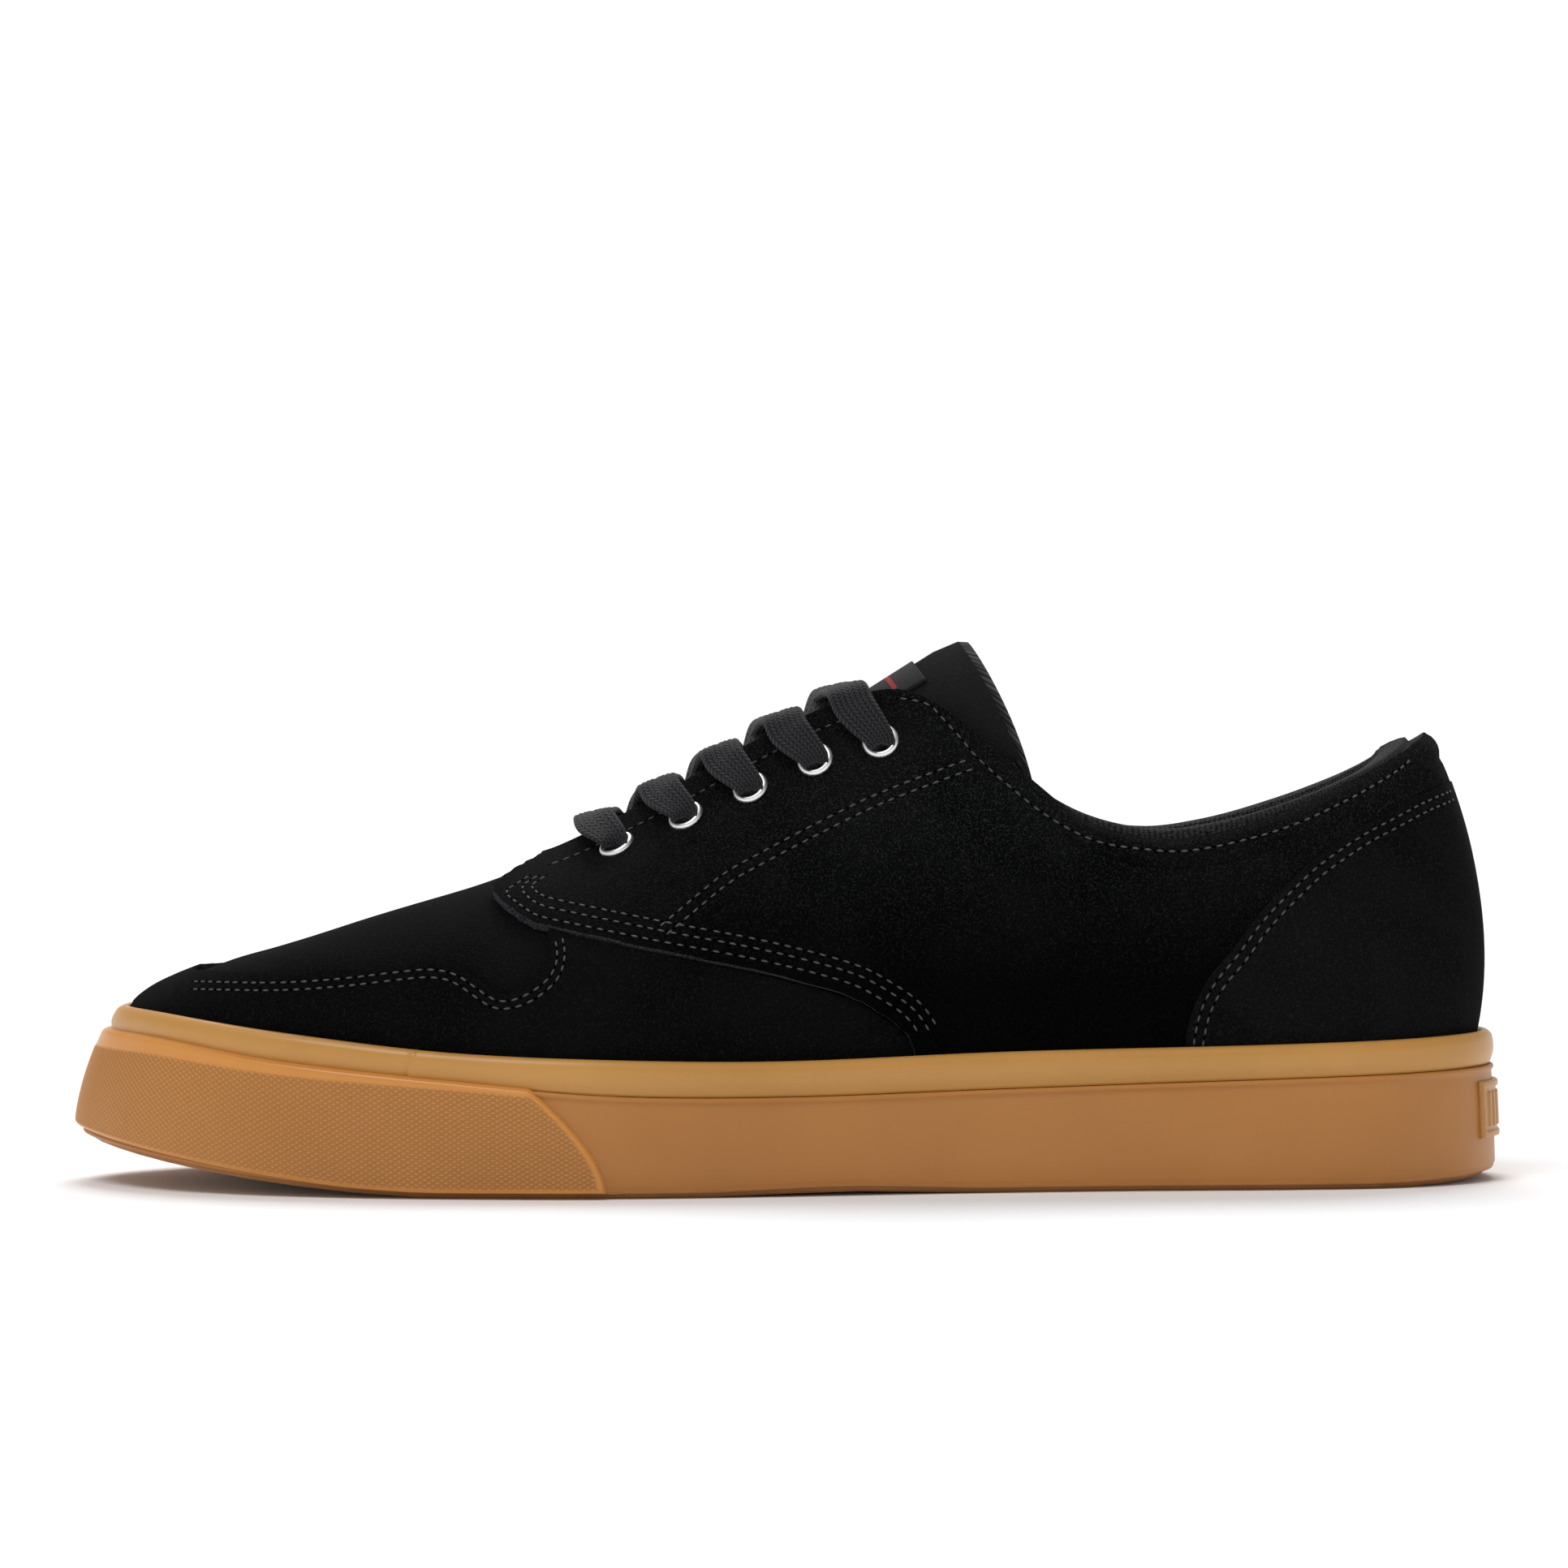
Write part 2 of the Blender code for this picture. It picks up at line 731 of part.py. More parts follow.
def build_eyelets():
    tall = clearance + eyelet_height
    deep = 2 * clearance + quarter_thickness + wall_thickness
    profile = (
        (eyelet_opening, tall),
        (eyelet_flange - 0.0005, tall),
        (eyelet_flange, clearance),
        (eyelet_barrel, clearance),
        (eyelet_barrel, -deep),
        (eyelet_opening, -deep),
    )
    for side, word in ((OUTER, "outer"), (INNER, "inner")):
        for number in range(eyelets_a_side):
            bm = bmesh.new()
            verts = [bm.verts.new((radius, 0.0, height)) for radius, height in profile]
            for first, second in zip(verts, verts[1:] + verts[:1]):
                bm.edges.new((first, second))
            eyelet = piece(f"eyelet_{word}_{number + 1}", bm, "eyelet")
            turn = eyelet.modifiers.new("turn", "SCREW")
            turn.steps = 10
            turn.render_steps = 10
            turn.use_merge_vertices = True
            turn.merge_threshold = 0.00001
            around, level = eyelet_seat(side, number)
            normal = upper_normal(around, level)
            eyelet.rotation_mode = "QUATERNION"
            eyelet.rotation_quaternion = normal.to_track_quat("Z", "Y")
            eyelet.location = upper_point(around, level, 2 * clearance + quarter_thickness)


def eyelet_drills(side, word):
    """Cutter with a round bar through each eyelet hole of one side."""
    bm = bmesh.new()
    for number in range(eyelets_a_side):
        around, level = eyelet_seat(side, number)
        normal = upper_normal(around, level)
        made = bmesh.ops.create_cone(
            bm,
            cap_ends=True,
            segments=8,
            radius1=eyelet_barrel + clearance + 0.0001,
            radius2=eyelet_barrel + clearance + 0.0001,
            depth=0.012,
        )["verts"]
        bmesh.ops.rotate(bm, verts=made, matrix=normal.to_track_quat("Z", "Y").to_matrix())
        bmesh.ops.translate(bm, verts=made, vec=upper_point(around, level, 0.0))
    return cutter(f"eyelet_drills_{word}", bm)


# Upper and its overlays
def build_upper():
    above = [2.0 + i / rows_over_tape for i in range(rows_over_tape + 1)]
    low, high, behind = 0.1, 1.6, 1.2
    upper = shell("upper", [0.0, 1.0] + above, 0.0, "suede")
    thicken(upper, wall_thickness, False)

    wide = ball_width
    guard = shell("toe_guard", [1.0] + above, clearance, "suede")
    thicken(guard, guard_thickness, True)
    front = shifted(QUARTER_FRONT, -clearance, -clearance)
    joint = [corner for corner in front if corner[1] < GUARD_TOP[-1][1] and corner[0] > GUARD_TOP[-1][0]]
    outline = [(-0.1, GUARD_TOP[0][1])] + list(GUARD_TOP) + joint + [(-0.1, low)]
    cut(guard, outline_prism("guard_outline", outline, -wide, wide), "INTERSECT")

    back = shifted(COUNTER_FRONT, -clearance, clearance)
    for side, word in ((OUTER, "outer"), (INNER, "inner")):
        quarter = shell(f"quarter_{word}", [1.0] + above, clearance, "suede")
        thicken(quarter, quarter_thickness, True)
        outline = [(QUARTER_FRONT[0][0], high)] + list(QUARTER_FRONT) + list(back) + [(1.06, high)]
        prism = outline_prism(f"quarter_outline_{word}", outline, side * clearance / 2, side * wide)
        cut(quarter, prism, "INTERSECT")
        drills = eyelet_drills(side, word)
        cut(quarter, drills, "DIFFERENCE")
        cut(upper, drills, "DIFFERENCE")

    counter = shell("heel_counter", [1.0] + above, clearance, "suede")
    thicken(counter, counter_thickness, True)
    outline = list(COUNTER_FRONT) + [(behind, COUNTER_FRONT[-1][1]), (behind, low), (COUNTER_FRONT[0][0], low)]
    cut(counter, outline_prism("counter_outline", outline, -wide, wide), "INTERSECT")


# Collar pad: padded knit roll inside the collar
def build_pad():
    around_front = join(OUTER, pad_front)

    def place(section):
        def point(a, b):
            around = around_front + (1.0 - 2.0 * around_front) * a
            share, depth, rise = section[round(b * (len(section) - 1))]
            end = min(1.0, 6.0 * min(a, 1.0 - a) + 0.25)
            level = down_from_edge(around, pad_depth * share)
            inward = wall_thickness + 2 * clearance + depth * pad_thickness * end
            up = (upper_surface(around, 3.0) - upper_surface(around, 2.96)).normalized()
            lift = pad_rise * (1.0 - 0.6 * math.sin(math.pi * a))
            return upper_point(around, level, -inward) + up * rise * lift * end

        return point

    columns = round(2 * stations * (1 - pad_front))
    slab("collar_pad", columns, len(PAD_OUTSIDE) - 1, place(PAD_OUTSIDE), place(PAD_INSIDE), "knit")


# Tongue
def tongue_point(across, share, out):
    """Point of the tongue: across runs from -1 (outer edge) to 1, share from root to top edge."""

    def centre(at):
        along, up = TONGUE.read("along", at), TONGUE.read("up", at)
        return Vector(((along - 0.5) * sole_length, crest_y(along), up * instep_height))

    slope = (centre(min(share + 0.05, 1.0)) - centre(max(share - 0.05, 0.0))).normalized()
    down = Vector((slope.z, 0.0, -slope.x)).normalized()
    turn = across * math.pi / 2.0
    half = TONGUE.read("half", share) * ball_width
    drop = TONGUE.read("drop", share) * ball_width
    normal = (down * (-math.cos(turn) * half) + Vector((0, math.sin(turn) * drop, 0))).normalized()
    point = centre(share) + Vector((0, math.sin(turn) * half, 0)) + down * (1.0 - math.cos(turn)) * drop
    return point + normal * out


def build_tongue():
    def back(a, b):
        across = (2.0 * a - 1.0) * 0.97
        thick = tongue_root_thickness + (tongue_top_thickness - tongue_root_thickness) * b**1.5
        thick *= 0.35 + 0.65 * math.sin(math.pi * a) ** 0.5
        return tongue_point(across, b, -thick)

    slab("tongue", 8, 9, lambda a, b: tongue_point(2.0 * a - 1.0, 0.97 * b, 0.0), back, "suede")


def build_label():
    half = label_width / 2.0 / (TONGUE.read("half", 0.9) * ball_width) * 0.64
    length = (tongue_point(0, 1.0, 0.0) - tongue_point(0, 0.5, 0.0)).length * 2.0
    start = 0.945 - label_height / length

    def place(out):
        return lambda a, b: tongue_point(half * (2.0 * a - 1.0), start + (0.945 - start) * b, out)

    slab("tongue_label", 6, 2, place(2 * clearance + label_thickness), place(2 * clearance), "label")


# Lace
def ribbon(bm, stops, steps):
    """Flat lace through stops of (point, normal). Each ribbon is closed."""

    def blend(values, t):
        at = t * (len(values) - 1)
        i = min(int(at), len(values) - 2)
        f = at - i
        before, after = values[max(i - 1, 0)], values[min(i + 2, len(values) - 1)]
        a, b = values[i], values[i + 1]
        return 0.5 * (
            2 * a
            + (b - before) * f
            + (2 * before - 5 * a + 4 * b - after) * f**2
            + (3 * a - before - 3 * b + after) * f**3
        )

    points = [stop[0] for stop in stops]
    normals = [stop[1] for stop in stops]
    section = ((-0.5, -0.5), (0.5, -0.5), (0.5, 0.5), (-0.5, 0.5))
    loops = []
    for i in range(steps + 1):
        t = i / steps
        point = blend(points, t)
        run = (blend(points, min(t + 0.01, 1.0)) - blend(points, max(t - 0.01, 0.0))).normalized()
        wide = run.cross(blend(normals, t)).normalized()
        high = wide.cross(run)
        loops.append(
            [bm.verts.new(point + wide * w * lace_width + high * h * lace_thickness) for w, h in section]
        )
    for low, high in zip(loops, loops[1:]):
        for i in range(len(section)):
            j = (i + 1) % len(section)
            bm.faces.new((low[i], low[j], high[j], high[i]))
    bm.faces.new(loops[0])
    bm.faces.new(list(reversed(loops[-1])))


def over_eyelet(side, number):
    """Stop of the lace on top of an eyelet."""
    around, level = eyelet_seat(side, number)
    out = quarter_thickness + eyelet_height + 7 * clearance + lace_thickness / 2
    return upper_point(around, level, out), upper_normal(around, level)


def over_edge(side, number, down, lift):
    """Stop of the lace above the eyestay, some way down from the throat's edge. At the edge itself
    the lace bends over it, facing half upwards."""
    around = eyelet_seat(side, number)[0]
    level = down_from_edge(around, down)
    normal = upper_normal(around, level)
    point = upper_point(around, level, clearance + quarter_thickness)
    if down == 0.0:
        normal = (normal + Vector((0.0, 0.0, 1.0))).normalized()
    return point + normal * (clearance + lace_thickness / 2 + lift), normal


def under_edge(side, number, down):
    """Stop of the lace below the eyestay, some way down from the throat's edge."""
    around = eyelet_seat(side, number)[0]
    level = down_from_edge(around, down)
    out = -(wall_thickness + 5 * clearance + lace_thickness / 2)
    return upper_point(around, level, out), upper_normal(around, level)


def over_throat(number, lift):
    """Stop of the lace midway over the throat, between the two eyestays."""
    outer = over_edge(OUTER, number, 0.0, lift)
    inner = over_edge(INNER, number, 0.0, lift)
    return (outer[0] + inner[0]) / 2, (outer[1] + inner[1]).normalized()


def build_laces():
    bm = bmesh.new()
    stops = [over_eyelet(OUTER, 0), over_edge(OUTER, 0, 0.005, 0.0016)]
    stops += [over_edge(OUTER, 0, 0.0, 0.0016), over_throat(0, 0.0016), over_edge(INNER, 0, 0.0, 0.0016)]
    stops += [over_edge(INNER, 0, 0.005, 0.0016), over_eyelet(INNER, 0)]
    ribbon(bm, stops, 14)
    bmesh.ops.recalc_face_normals(bm, faces=bm.faces)
    piece("lace_bar", bm, "lace")
    for number in range(eyelets_a_side - 1):
        strands = []
        for side, word in ((OUTER, "outer"), (INNER, "inner")):
            bm = bmesh.new()
            stops = [under_edge(side, number, 0.0005)]
            stops += [over_throat(number + 0.6, 0.001 * (number - 2)), over_edge(-side, number + 1, 0.0, 0.0024)]
            stops += [over_edge(-side, number + 1, 0.005, 0.0014), over_eyelet(-side, number + 1)]
            ribbon(bm, stops, 12)
            bmesh.ops.recalc_face_normals(bm, faces=bm.faces)
            strands.append(bm)
        crossing = piece(f"lace_cross_{number + 1}", strands[0], "lace")
        cut(crossing, cutter(f"lace_strand_{number + 1}", strands[1]), "UNION")


build_outsole()
build_sidewall()
build_tape()
build_bumper()
build_badge()
build_insole()
build_upper()
build_pad()
build_tongue()
build_label()
build_eyelets()
build_laces()
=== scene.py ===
"""Low skate shoe for the left foot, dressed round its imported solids: black suede panels with grey
stitching, knit collar and tongue lining, flat laces in metal eyelets, and a gum rubber cup sole
with a knurled toe bumper."""
import math
from functools import lru_cache

import bmesh
import bpy
from mathutils import Matrix, Vector
from mathutils.bvhtree import BVHTree


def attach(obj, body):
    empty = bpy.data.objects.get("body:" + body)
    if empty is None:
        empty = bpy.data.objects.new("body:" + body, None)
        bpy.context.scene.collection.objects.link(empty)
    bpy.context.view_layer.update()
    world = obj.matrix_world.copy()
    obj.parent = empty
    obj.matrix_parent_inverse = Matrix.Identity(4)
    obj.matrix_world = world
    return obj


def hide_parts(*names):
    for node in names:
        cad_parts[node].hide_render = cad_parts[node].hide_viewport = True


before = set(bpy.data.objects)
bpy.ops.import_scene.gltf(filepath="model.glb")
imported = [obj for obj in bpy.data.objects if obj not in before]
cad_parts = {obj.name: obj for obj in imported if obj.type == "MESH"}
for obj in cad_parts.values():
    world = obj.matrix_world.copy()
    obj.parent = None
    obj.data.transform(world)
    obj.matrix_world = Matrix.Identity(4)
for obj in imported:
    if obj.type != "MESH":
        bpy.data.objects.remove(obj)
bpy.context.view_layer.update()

# Studio: the camera stands level with the throat, square to the outer side, a metre away.
# A white room and soft lamps from above and in front light the shoe on a pale floor.
camera_distance = 1.05
camera_height = 0.0825
camera_roll = math.radians(0.25)
view_width = 0.32844

camera = bpy.data.objects.new("camera", bpy.data.cameras.new("camera"))
bpy.context.scene.collection.objects.link(camera)
camera.data.sensor_width = 36.0
camera.data.lens = 36.0 * camera_distance / view_width
camera.data.clip_start = 0.01
camera.location = (0.0, -camera_distance, camera_height)
camera.rotation_euler = (math.radians(90.0), camera_roll, 0.0)
bpy.context.scene.camera = camera


def fill(tree, target, **sockets):
    """Sets a shader node's sockets, or links them where the value is another node's socket. Names
    have underscores for spaces, in0 is the first socket, and set_ goes before a node's property."""
    for name, value in sockets.items():
        if name.startswith("set_"):
            setattr(target, name[4:], value)
            continue
        socket = target.inputs[int(name[2:]) if name.startswith("in") else name.replace("_", " ")]
        if isinstance(value, bpy.types.NodeSocket):
            tree.links.new(value, socket)
        else:
            socket.default_value = value


def node(tree, kind, **sockets):
    """New shader node with its sockets filled."""
    made = tree.nodes.new("ShaderNode" + kind)
    fill(tree, made, **sockets)
    return made


def ramp(tree, value, low, first, high, last):
    """Colour that goes from the first to the last as a value goes from low to high."""
    made = node(tree, "ValToRGB", Fac=value)
    for stop, place, colour in zip(made.color_ramp.elements, (low, high), (first, last)):
        stop.position = place
        stop.color = (*colour, 1.0)
    return made.outputs["Color"]


def paint(name):
    """New material, with its nodes and its shader."""
    made = bpy.data.materials.new(name)
    made.use_nodes = True
    return made, made.node_tree, made.node_tree.nodes["Principled BSDF"]


room = bpy.data.worlds.new("room")
room.use_nodes = True
tree = room.node_tree
way = node(tree, "TexCoord").outputs["Generated"]
room_height = node(tree, "SeparateXYZ", Vector=way).outputs["Z"]
room_tone = ramp(tree, room_height, 0.18, (1.0, 1.0, 1.0), 0.32, (0.30, 0.30, 0.31))
fill(tree, tree.nodes["Background"], Color=room_tone, Strength=1.02)
bpy.context.scene.world = room
bpy.context.scene.view_settings.view_transform = "Standard"


def lamp(name, place, spread, strength):
    """Large far lamp that shines from a direction, with shadows as soft as its spread in degrees."""
    made = bpy.data.objects.new(name, bpy.data.lights.new(name, "SUN"))
    made.data.angle = math.radians(spread)
    made.data.energy = strength
    made.rotation_mode = "QUATERNION"
    made.rotation_quaternion = Vector(place).to_track_quat("Z", "Y")
    bpy.context.scene.collection.objects.link(made)


lamp("key_lamp", (-0.45, -0.55, 1.30), 26.0, 1.15)
lamp("back_lamp", (0.02, 0.70, 1.05), 34.0, 1.95)

bm = bmesh.new()
bmesh.ops.create_grid(bm, x_segments=1, y_segments=1, size=60.0)
floor_mesh = bpy.data.meshes.new("studio_floor")
bm.to_mesh(floor_mesh)
bm.free()
studio_floor = bpy.data.objects.new("studio_floor", floor_mesh)
bpy.context.scene.collection.objects.link(studio_floor)
floor_paint, tree, shader = paint("floor_paint")
fill(tree, shader, Base_Color=(0.97, 0.97, 0.97, 1.0), Roughness=0.9, Specular_IOR_Level=0.1)
floor_mesh.materials.append(floor_paint)

# Gum cup: the moulded rubber cup that the upper is glued into. Its side rises from a rounded
# bottom edge to a thin bead under the foxing tape. It is cast in one piece round the whole shoe.
sole_length = 0.2958
ball_width = 0.108
foxing_height = 0.0270
toe_spring = 0.0092
arch_lift = 0.0008
heel_bevel = 0.0012
toe_turn = 0.0070
side_shift = 0.0006
toe_lean = 0.0086
side_lean = 0.0010
clearance = 0.0003
outsole_thickness = 0.0030
rim_drop = 0.0010
rim_width = 0.0020
floor_at_toe = 0.0060
floor_at_heel = 0.0100
tape_thickness = 0.0019
guard_thickness = 0.0012
counter_thickness = 0.0026
columns_round = 480

OUTER = -1
INNER = 1


class Chart:
    """A short table with named columns, read by a smooth curve through its rows."""

    def __init__(self, columns, rows):
        self.columns = columns
        self.rows = rows

    @lru_cache(maxsize=None)
    def read(self, column, at):
        """Value of a column at a place along the first column."""
        k = self.columns.index(column)
        rows = self.rows
        at = min(max(at, rows[0][0]), rows[-1][0])
        i = 0
        while i < len(rows) - 2 and at > rows[i + 1][0]:
            i += 1

        def slope(j):
            low, high = max(j - 1, 0), min(j + 1, len(rows) - 1)
            return (rows[high][k] - rows[low][k]) / (rows[high][0] - rows[low][0])

        span = rows[i + 1][0] - rows[i][0]
        t = (at - rows[i][0]) / span
        start = (2 * t**3 - 3 * t**2 + 1) * rows[i][k] + (t**3 - 2 * t**2 + t) * span * slope(i)
        end = (3 * t**2 - 2 * t**3) * rows[i + 1][k] + (t**3 - t**2) * span * slope(i + 1)
        return start + end


SOLE_PLAN = Chart(
    ("along", "outer", "inner"),
    (
        (0.000, 0.420, 0.420),
        (0.047, 0.510, 0.528),
        (0.104, 0.542, 0.571),
        (0.190, 0.542, 0.565),
        (0.282, 0.527, 0.536),
        (0.380, 0.509, 0.484),
        (0.500, 0.458, 0.403),
        (0.620, 0.407, 0.356),
        (0.740, 0.401, 0.373),
        (0.850, 0.458, 0.436),
        (0.920, 0.518, 0.494),
        (0.970, 0.536, 0.514),
        (1.000, 0.520, 0.510),
    ),
)
end_fullness = 0.8

SOLE_SIDE = Chart(
    ("along", "line", "top"),
    (
        (0.00, 1.185, 1.370),
        (0.06, 1.140, 1.330),
        (0.15, 1.000, 1.219),
        (0.27, 0.867, 1.081),
        (0.38, 0.763, 1.026),
        (0.50, 0.741, 1.004),
        (0.65, 0.778, 1.052),
        (0.80, 0.822, 1.081),
        (0.92, 0.859, 1.115),
        (1.00, 0.889, 1.148),
    ),
)


def split(around):
    """Side of the foot and share from toe to heel, for a share of the way round the foot."""
    around %= 1.0
    if around <= 0.5:
        return OUTER, 2.0 * around
    return INNER, 2.0 * (1.0 - around)


def join(side, share):
    """Share of the way round the foot, for a side and a share from toe to heel."""
    return share / 2.0 if side == OUTER else 1.0 - share / 2.0


def along_at(share):
    """Share of the length reached at a share of the way from toe to heel along the edge."""
    return (1.0 - math.cos(math.pi * share)) / 2.0


def share_at(along):
    """The reverse of along_at."""
    return math.acos(1.0 - 2.0 * along) / math.pi


def edge(around):
    """Point of the sole's outline."""
    side, share = split(around)
    along = along_at(share)
    column = "outer" if side == OUTER else "inner"
    half = SOLE_PLAN.read(column, along) * ball_width * math.sin(math.pi * share) ** end_fullness
    middle = toe_turn * max(0.0, 1.0 - 2.0 * along) ** 2 - side_shift
    return Vector(((along - 0.5) * sole_length, middle + side * half, 0.0))


def outward(around):
    """Unit vector square to the outline, pointing away from the foot."""
    run = edge(around + 0.002) - edge(around - 0.002)
    return Vector((run.y, -run.x, 0.0)).normalized()


def bottom(x):
    """Height of the tread: toe spring, lifted waist and bevelled heel."""
    along = x / sole_length + 0.5
    toe = max(0.0, (0.268 - along) / 0.268)
    waist = min(max((along - 0.43) / 0.22, 0.0), 1.0)
    heel = max(0.0, (along - 0.90) / 0.10)
    return toe_spring * toe**1.6 + arch_lift * math.sin(math.pi * waist) ** 2 + heel_bevel * heel**2


def line(x):
    """Height of the line between the two side bands."""
    return SOLE_SIDE.read("line", x / sole_length + 0.5) * foxing_height


def top(x):
    """Height of the upper band's top edge."""
    return SOLE_SIDE.read("top", x / sole_length + 0.5) * foxing_height


def floor(x):
    """Height of the floor inside the sidewall, under the foot."""
    along = x / sole_length + 0.5
    rise = (floor_at_heel - floor_at_toe) * along
    return bottom(x) + outsole_thickness + clearance + floor_at_toe + rise


def side_point(around, height, inset):
    """Point of the sole's side at a height, moved in from its surface."""
    point = edge(around)
    away = outward(around)
    low = bottom(point.x) + rim_drop
    rise = max(0.0, (height - low) / (top(point.x) - low))
    forward = max(0.0, -away.x) ** 1.5
    lean = (side_lean + (toe_lean - side_lean) * forward) * rise**1.7
    point -= away * (lean + inset)
    point.z = height
    return point


def seat(share):
    """Inset of the upper's wall from the sole's side."""
    thickest = guard_thickness + (counter_thickness - guard_thickness) * share
    return tape_thickness + 2.0 * clearance + thickest


def sheet(bm, across, along, place):
    """Grid laid by place(a, b), with a and b from 0 to 1, which are also kept as its UV map."""
    verts = bmesh.ops.create_grid(bm, x_segments=across, y_segments=along, size=0.5)["verts"]
    marks = {vert: (vert.co.x + 0.5, vert.co.y + 0.5) for vert in verts}
    layer = bm.loops.layers.uv.verify()
    for face in {face for vert in verts for face in vert.link_faces}:
        for loop in face.loops:
            loop[layer].uv = marks[loop.vert]
    for vert, (a, b) in marks.items():
        vert.co = place(a, b)
    return marks


def band(rows, arounds=None):
    """Closed band round the foot, through rows that each give the point at a place round it."""
    arounds = arounds or [i / columns_round for i in range(columns_round + 1)]
    bm = bmesh.new()

    def place(a, b):
        return rows[round(b * len(rows)) % len(rows)](arounds[round(a * (len(arounds) - 1))])

    sheet(bm, len(arounds) - 1, len(rows), place)
    bmesh.ops.remove_doubles(bm, verts=bm.verts, dist=0.00001)
    bmesh.ops.recalc_face_normals(bm, faces=bm.faces)
    return bm


def row(height, inset):
    """Row of a band on the sole's side, at a height given from x."""
    return lambda around: side_point(around, height(edge(around).x), inset)


def made_piece(name, bm, *materials):
    """Smooth-shaded object from a finished bmesh."""
    mesh = bpy.data.meshes.new(name)
    bm.to_mesh(mesh)
    bm.free()
    mesh.shade_smooth()
    for item in materials:
        mesh.materials.append(item)
    made = bpy.data.objects.new(name, mesh)
    bpy.context.scene.collection.objects.link(made)
    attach(made, "root")
    return made


def noise(tree, where, scale, detail, **more):
    """Strength of a noise at a place."""
    return node(tree, "TexNoise", Vector=where, Scale=scale, Detail=detail, **more).outputs["Fac"]


def mixed(tree, share, first, last):
    """The first colour, with a share of the last."""
    return node(tree, "Mix", set_data_type="RGBA", Factor=share, A=first, B=last).outputs["Result"]


def bumped(tree, height, strength, distance, **more):
    """Surface direction with a fine relief."""
    made = node(tree, "Bump", Strength=strength, Distance=distance, Height=height, **more)
    return made.outputs["Normal"]


def gum(name, deep, pale, roughness=0.42):
    """Translucent gum rubber: faint clouds in the colour, dust specks and a slight skin."""
    made, tree, shader = paint(name)
    where = node(tree, "TexCoord").outputs["Object"]
    clouds = ramp(tree, noise(tree, where, 28.0, 3.0), 0.30, deep, 0.70, pale)
    dust = ramp(tree, noise(tree, where, 1500.0, 1.0), 0.80, (0.0, 0.0, 0.0), 0.88, (1.0, 1.0, 1.0))
    fill(
        tree,
        shader,
        Base_Color=mixed(tree, dust, clouds, (0.60, 0.38, 0.18, 1.0)),
        Normal=bumped(tree, noise(tree, where, 420.0, 2.0), 0.12, 0.0002),
        Roughness=roughness,
        Specular_IOR_Level=0.42,
        Subsurface_Weight=0.12,
        Subsurface_Radius=(1.0, 0.5, 0.2),
        Subsurface_Scale=0.003,
    )
    return made


def foot_row(rise, inset, deeper=0.0):
    """Row above the cup's edge, set deeper in at the toe, where the layers of the sole show."""

    def point(around):
        x = edge(around).x
        toe = max(0.0, 1.0 - (x / sole_length + 0.5) / 0.2)
        return side_point(around, bottom(x) + rim_drop + rise, inset + deeper * toe)

    return point


cup_gum = gum("cup_gum", (0.42, 0.170, 0.034), (0.47, 0.197, 0.044))
CUP_FOOT = (
    (0.0, rim_width),
    (0.0, 0.0012),
    (0.0002, 0.0006),
    (0.0006, 0.0003),
    (0.0009, 0.0003, 0.0001),
    (0.0011, 0.0002, 0.0005),
    (0.0013, 0.0001, 0.0005),
    (0.0016, 0.0),
)
CUP_BEAD = (
    (0.0022, 0.0001),
    (0.0014, 0.0001),
    (0.0011, -0.0002),
    (0.0007, -0.0004),
    (0.0003, -0.0003),
    (0.0001, 0.0),
    (0.0001, 0.0016),
)
cup_rows = [row(lambda x: bottom(x) + outsole_thickness, rim_width)]
cup_rows += [foot_row(*place) for place in CUP_FOOT]
cup_rows += [row(lambda x, up=up: bottom(x) * (1.0 - up) + line(x) * up, 0.0) for up in (0.3, 0.6)]
cup_rows += [row(lambda x, drop=drop: line(x) - drop, inset) for drop, inset in CUP_BEAD]
cup_rows.append(
    lambda around: side_point(around, floor(edge(around).x), seat(split(around)[1]) - 2 * clearance)
)
cup = made_piece("gum_cup", band(cup_rows), cup_gum)
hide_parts("sidewall")

# Foxing tape: a strip of paler gum wound once round the shoe over the lasted edge of the upper.
# Its face bulges a little, and its two ends meet in a slanted joint on the outer side.
tape_bulge = 0.0006
seam_top = 0.2504
seam_foot = 0.2440
seam_softness = 0.0005
seam_step = 0.00022
seam_groove = 0.00030
tape_gum = gum("tape_gum", (0.49, 0.240, 0.054), (0.55, 0.276, 0.068), 0.36)


def tape_row(share, inset):
    """Row of the tape: share of its height from the bottom up. The later end lies over the first."""

    def point(around):
        x = edge(around).x
        low, high = line(x), top(x)
        height = low + (high - low) * share
        seam = ((seam_foot + (seam_top - seam_foot) * share) - 0.5) * sole_length
        proud = 0.0
        if split(around)[0] == OUTER:
            past = (x - seam) / seam_softness
            step = 1.0 / (1.0 + math.exp(-4.0 * min(max(past, -8.0), 8.0)))
            proud = seam_step * step * math.exp(-max(past, 0.0) / 24.0)
            proud -= seam_groove * math.exp(-((past + 0.8) ** 2))
        return side_point(around, height, inset - proud)

    return point


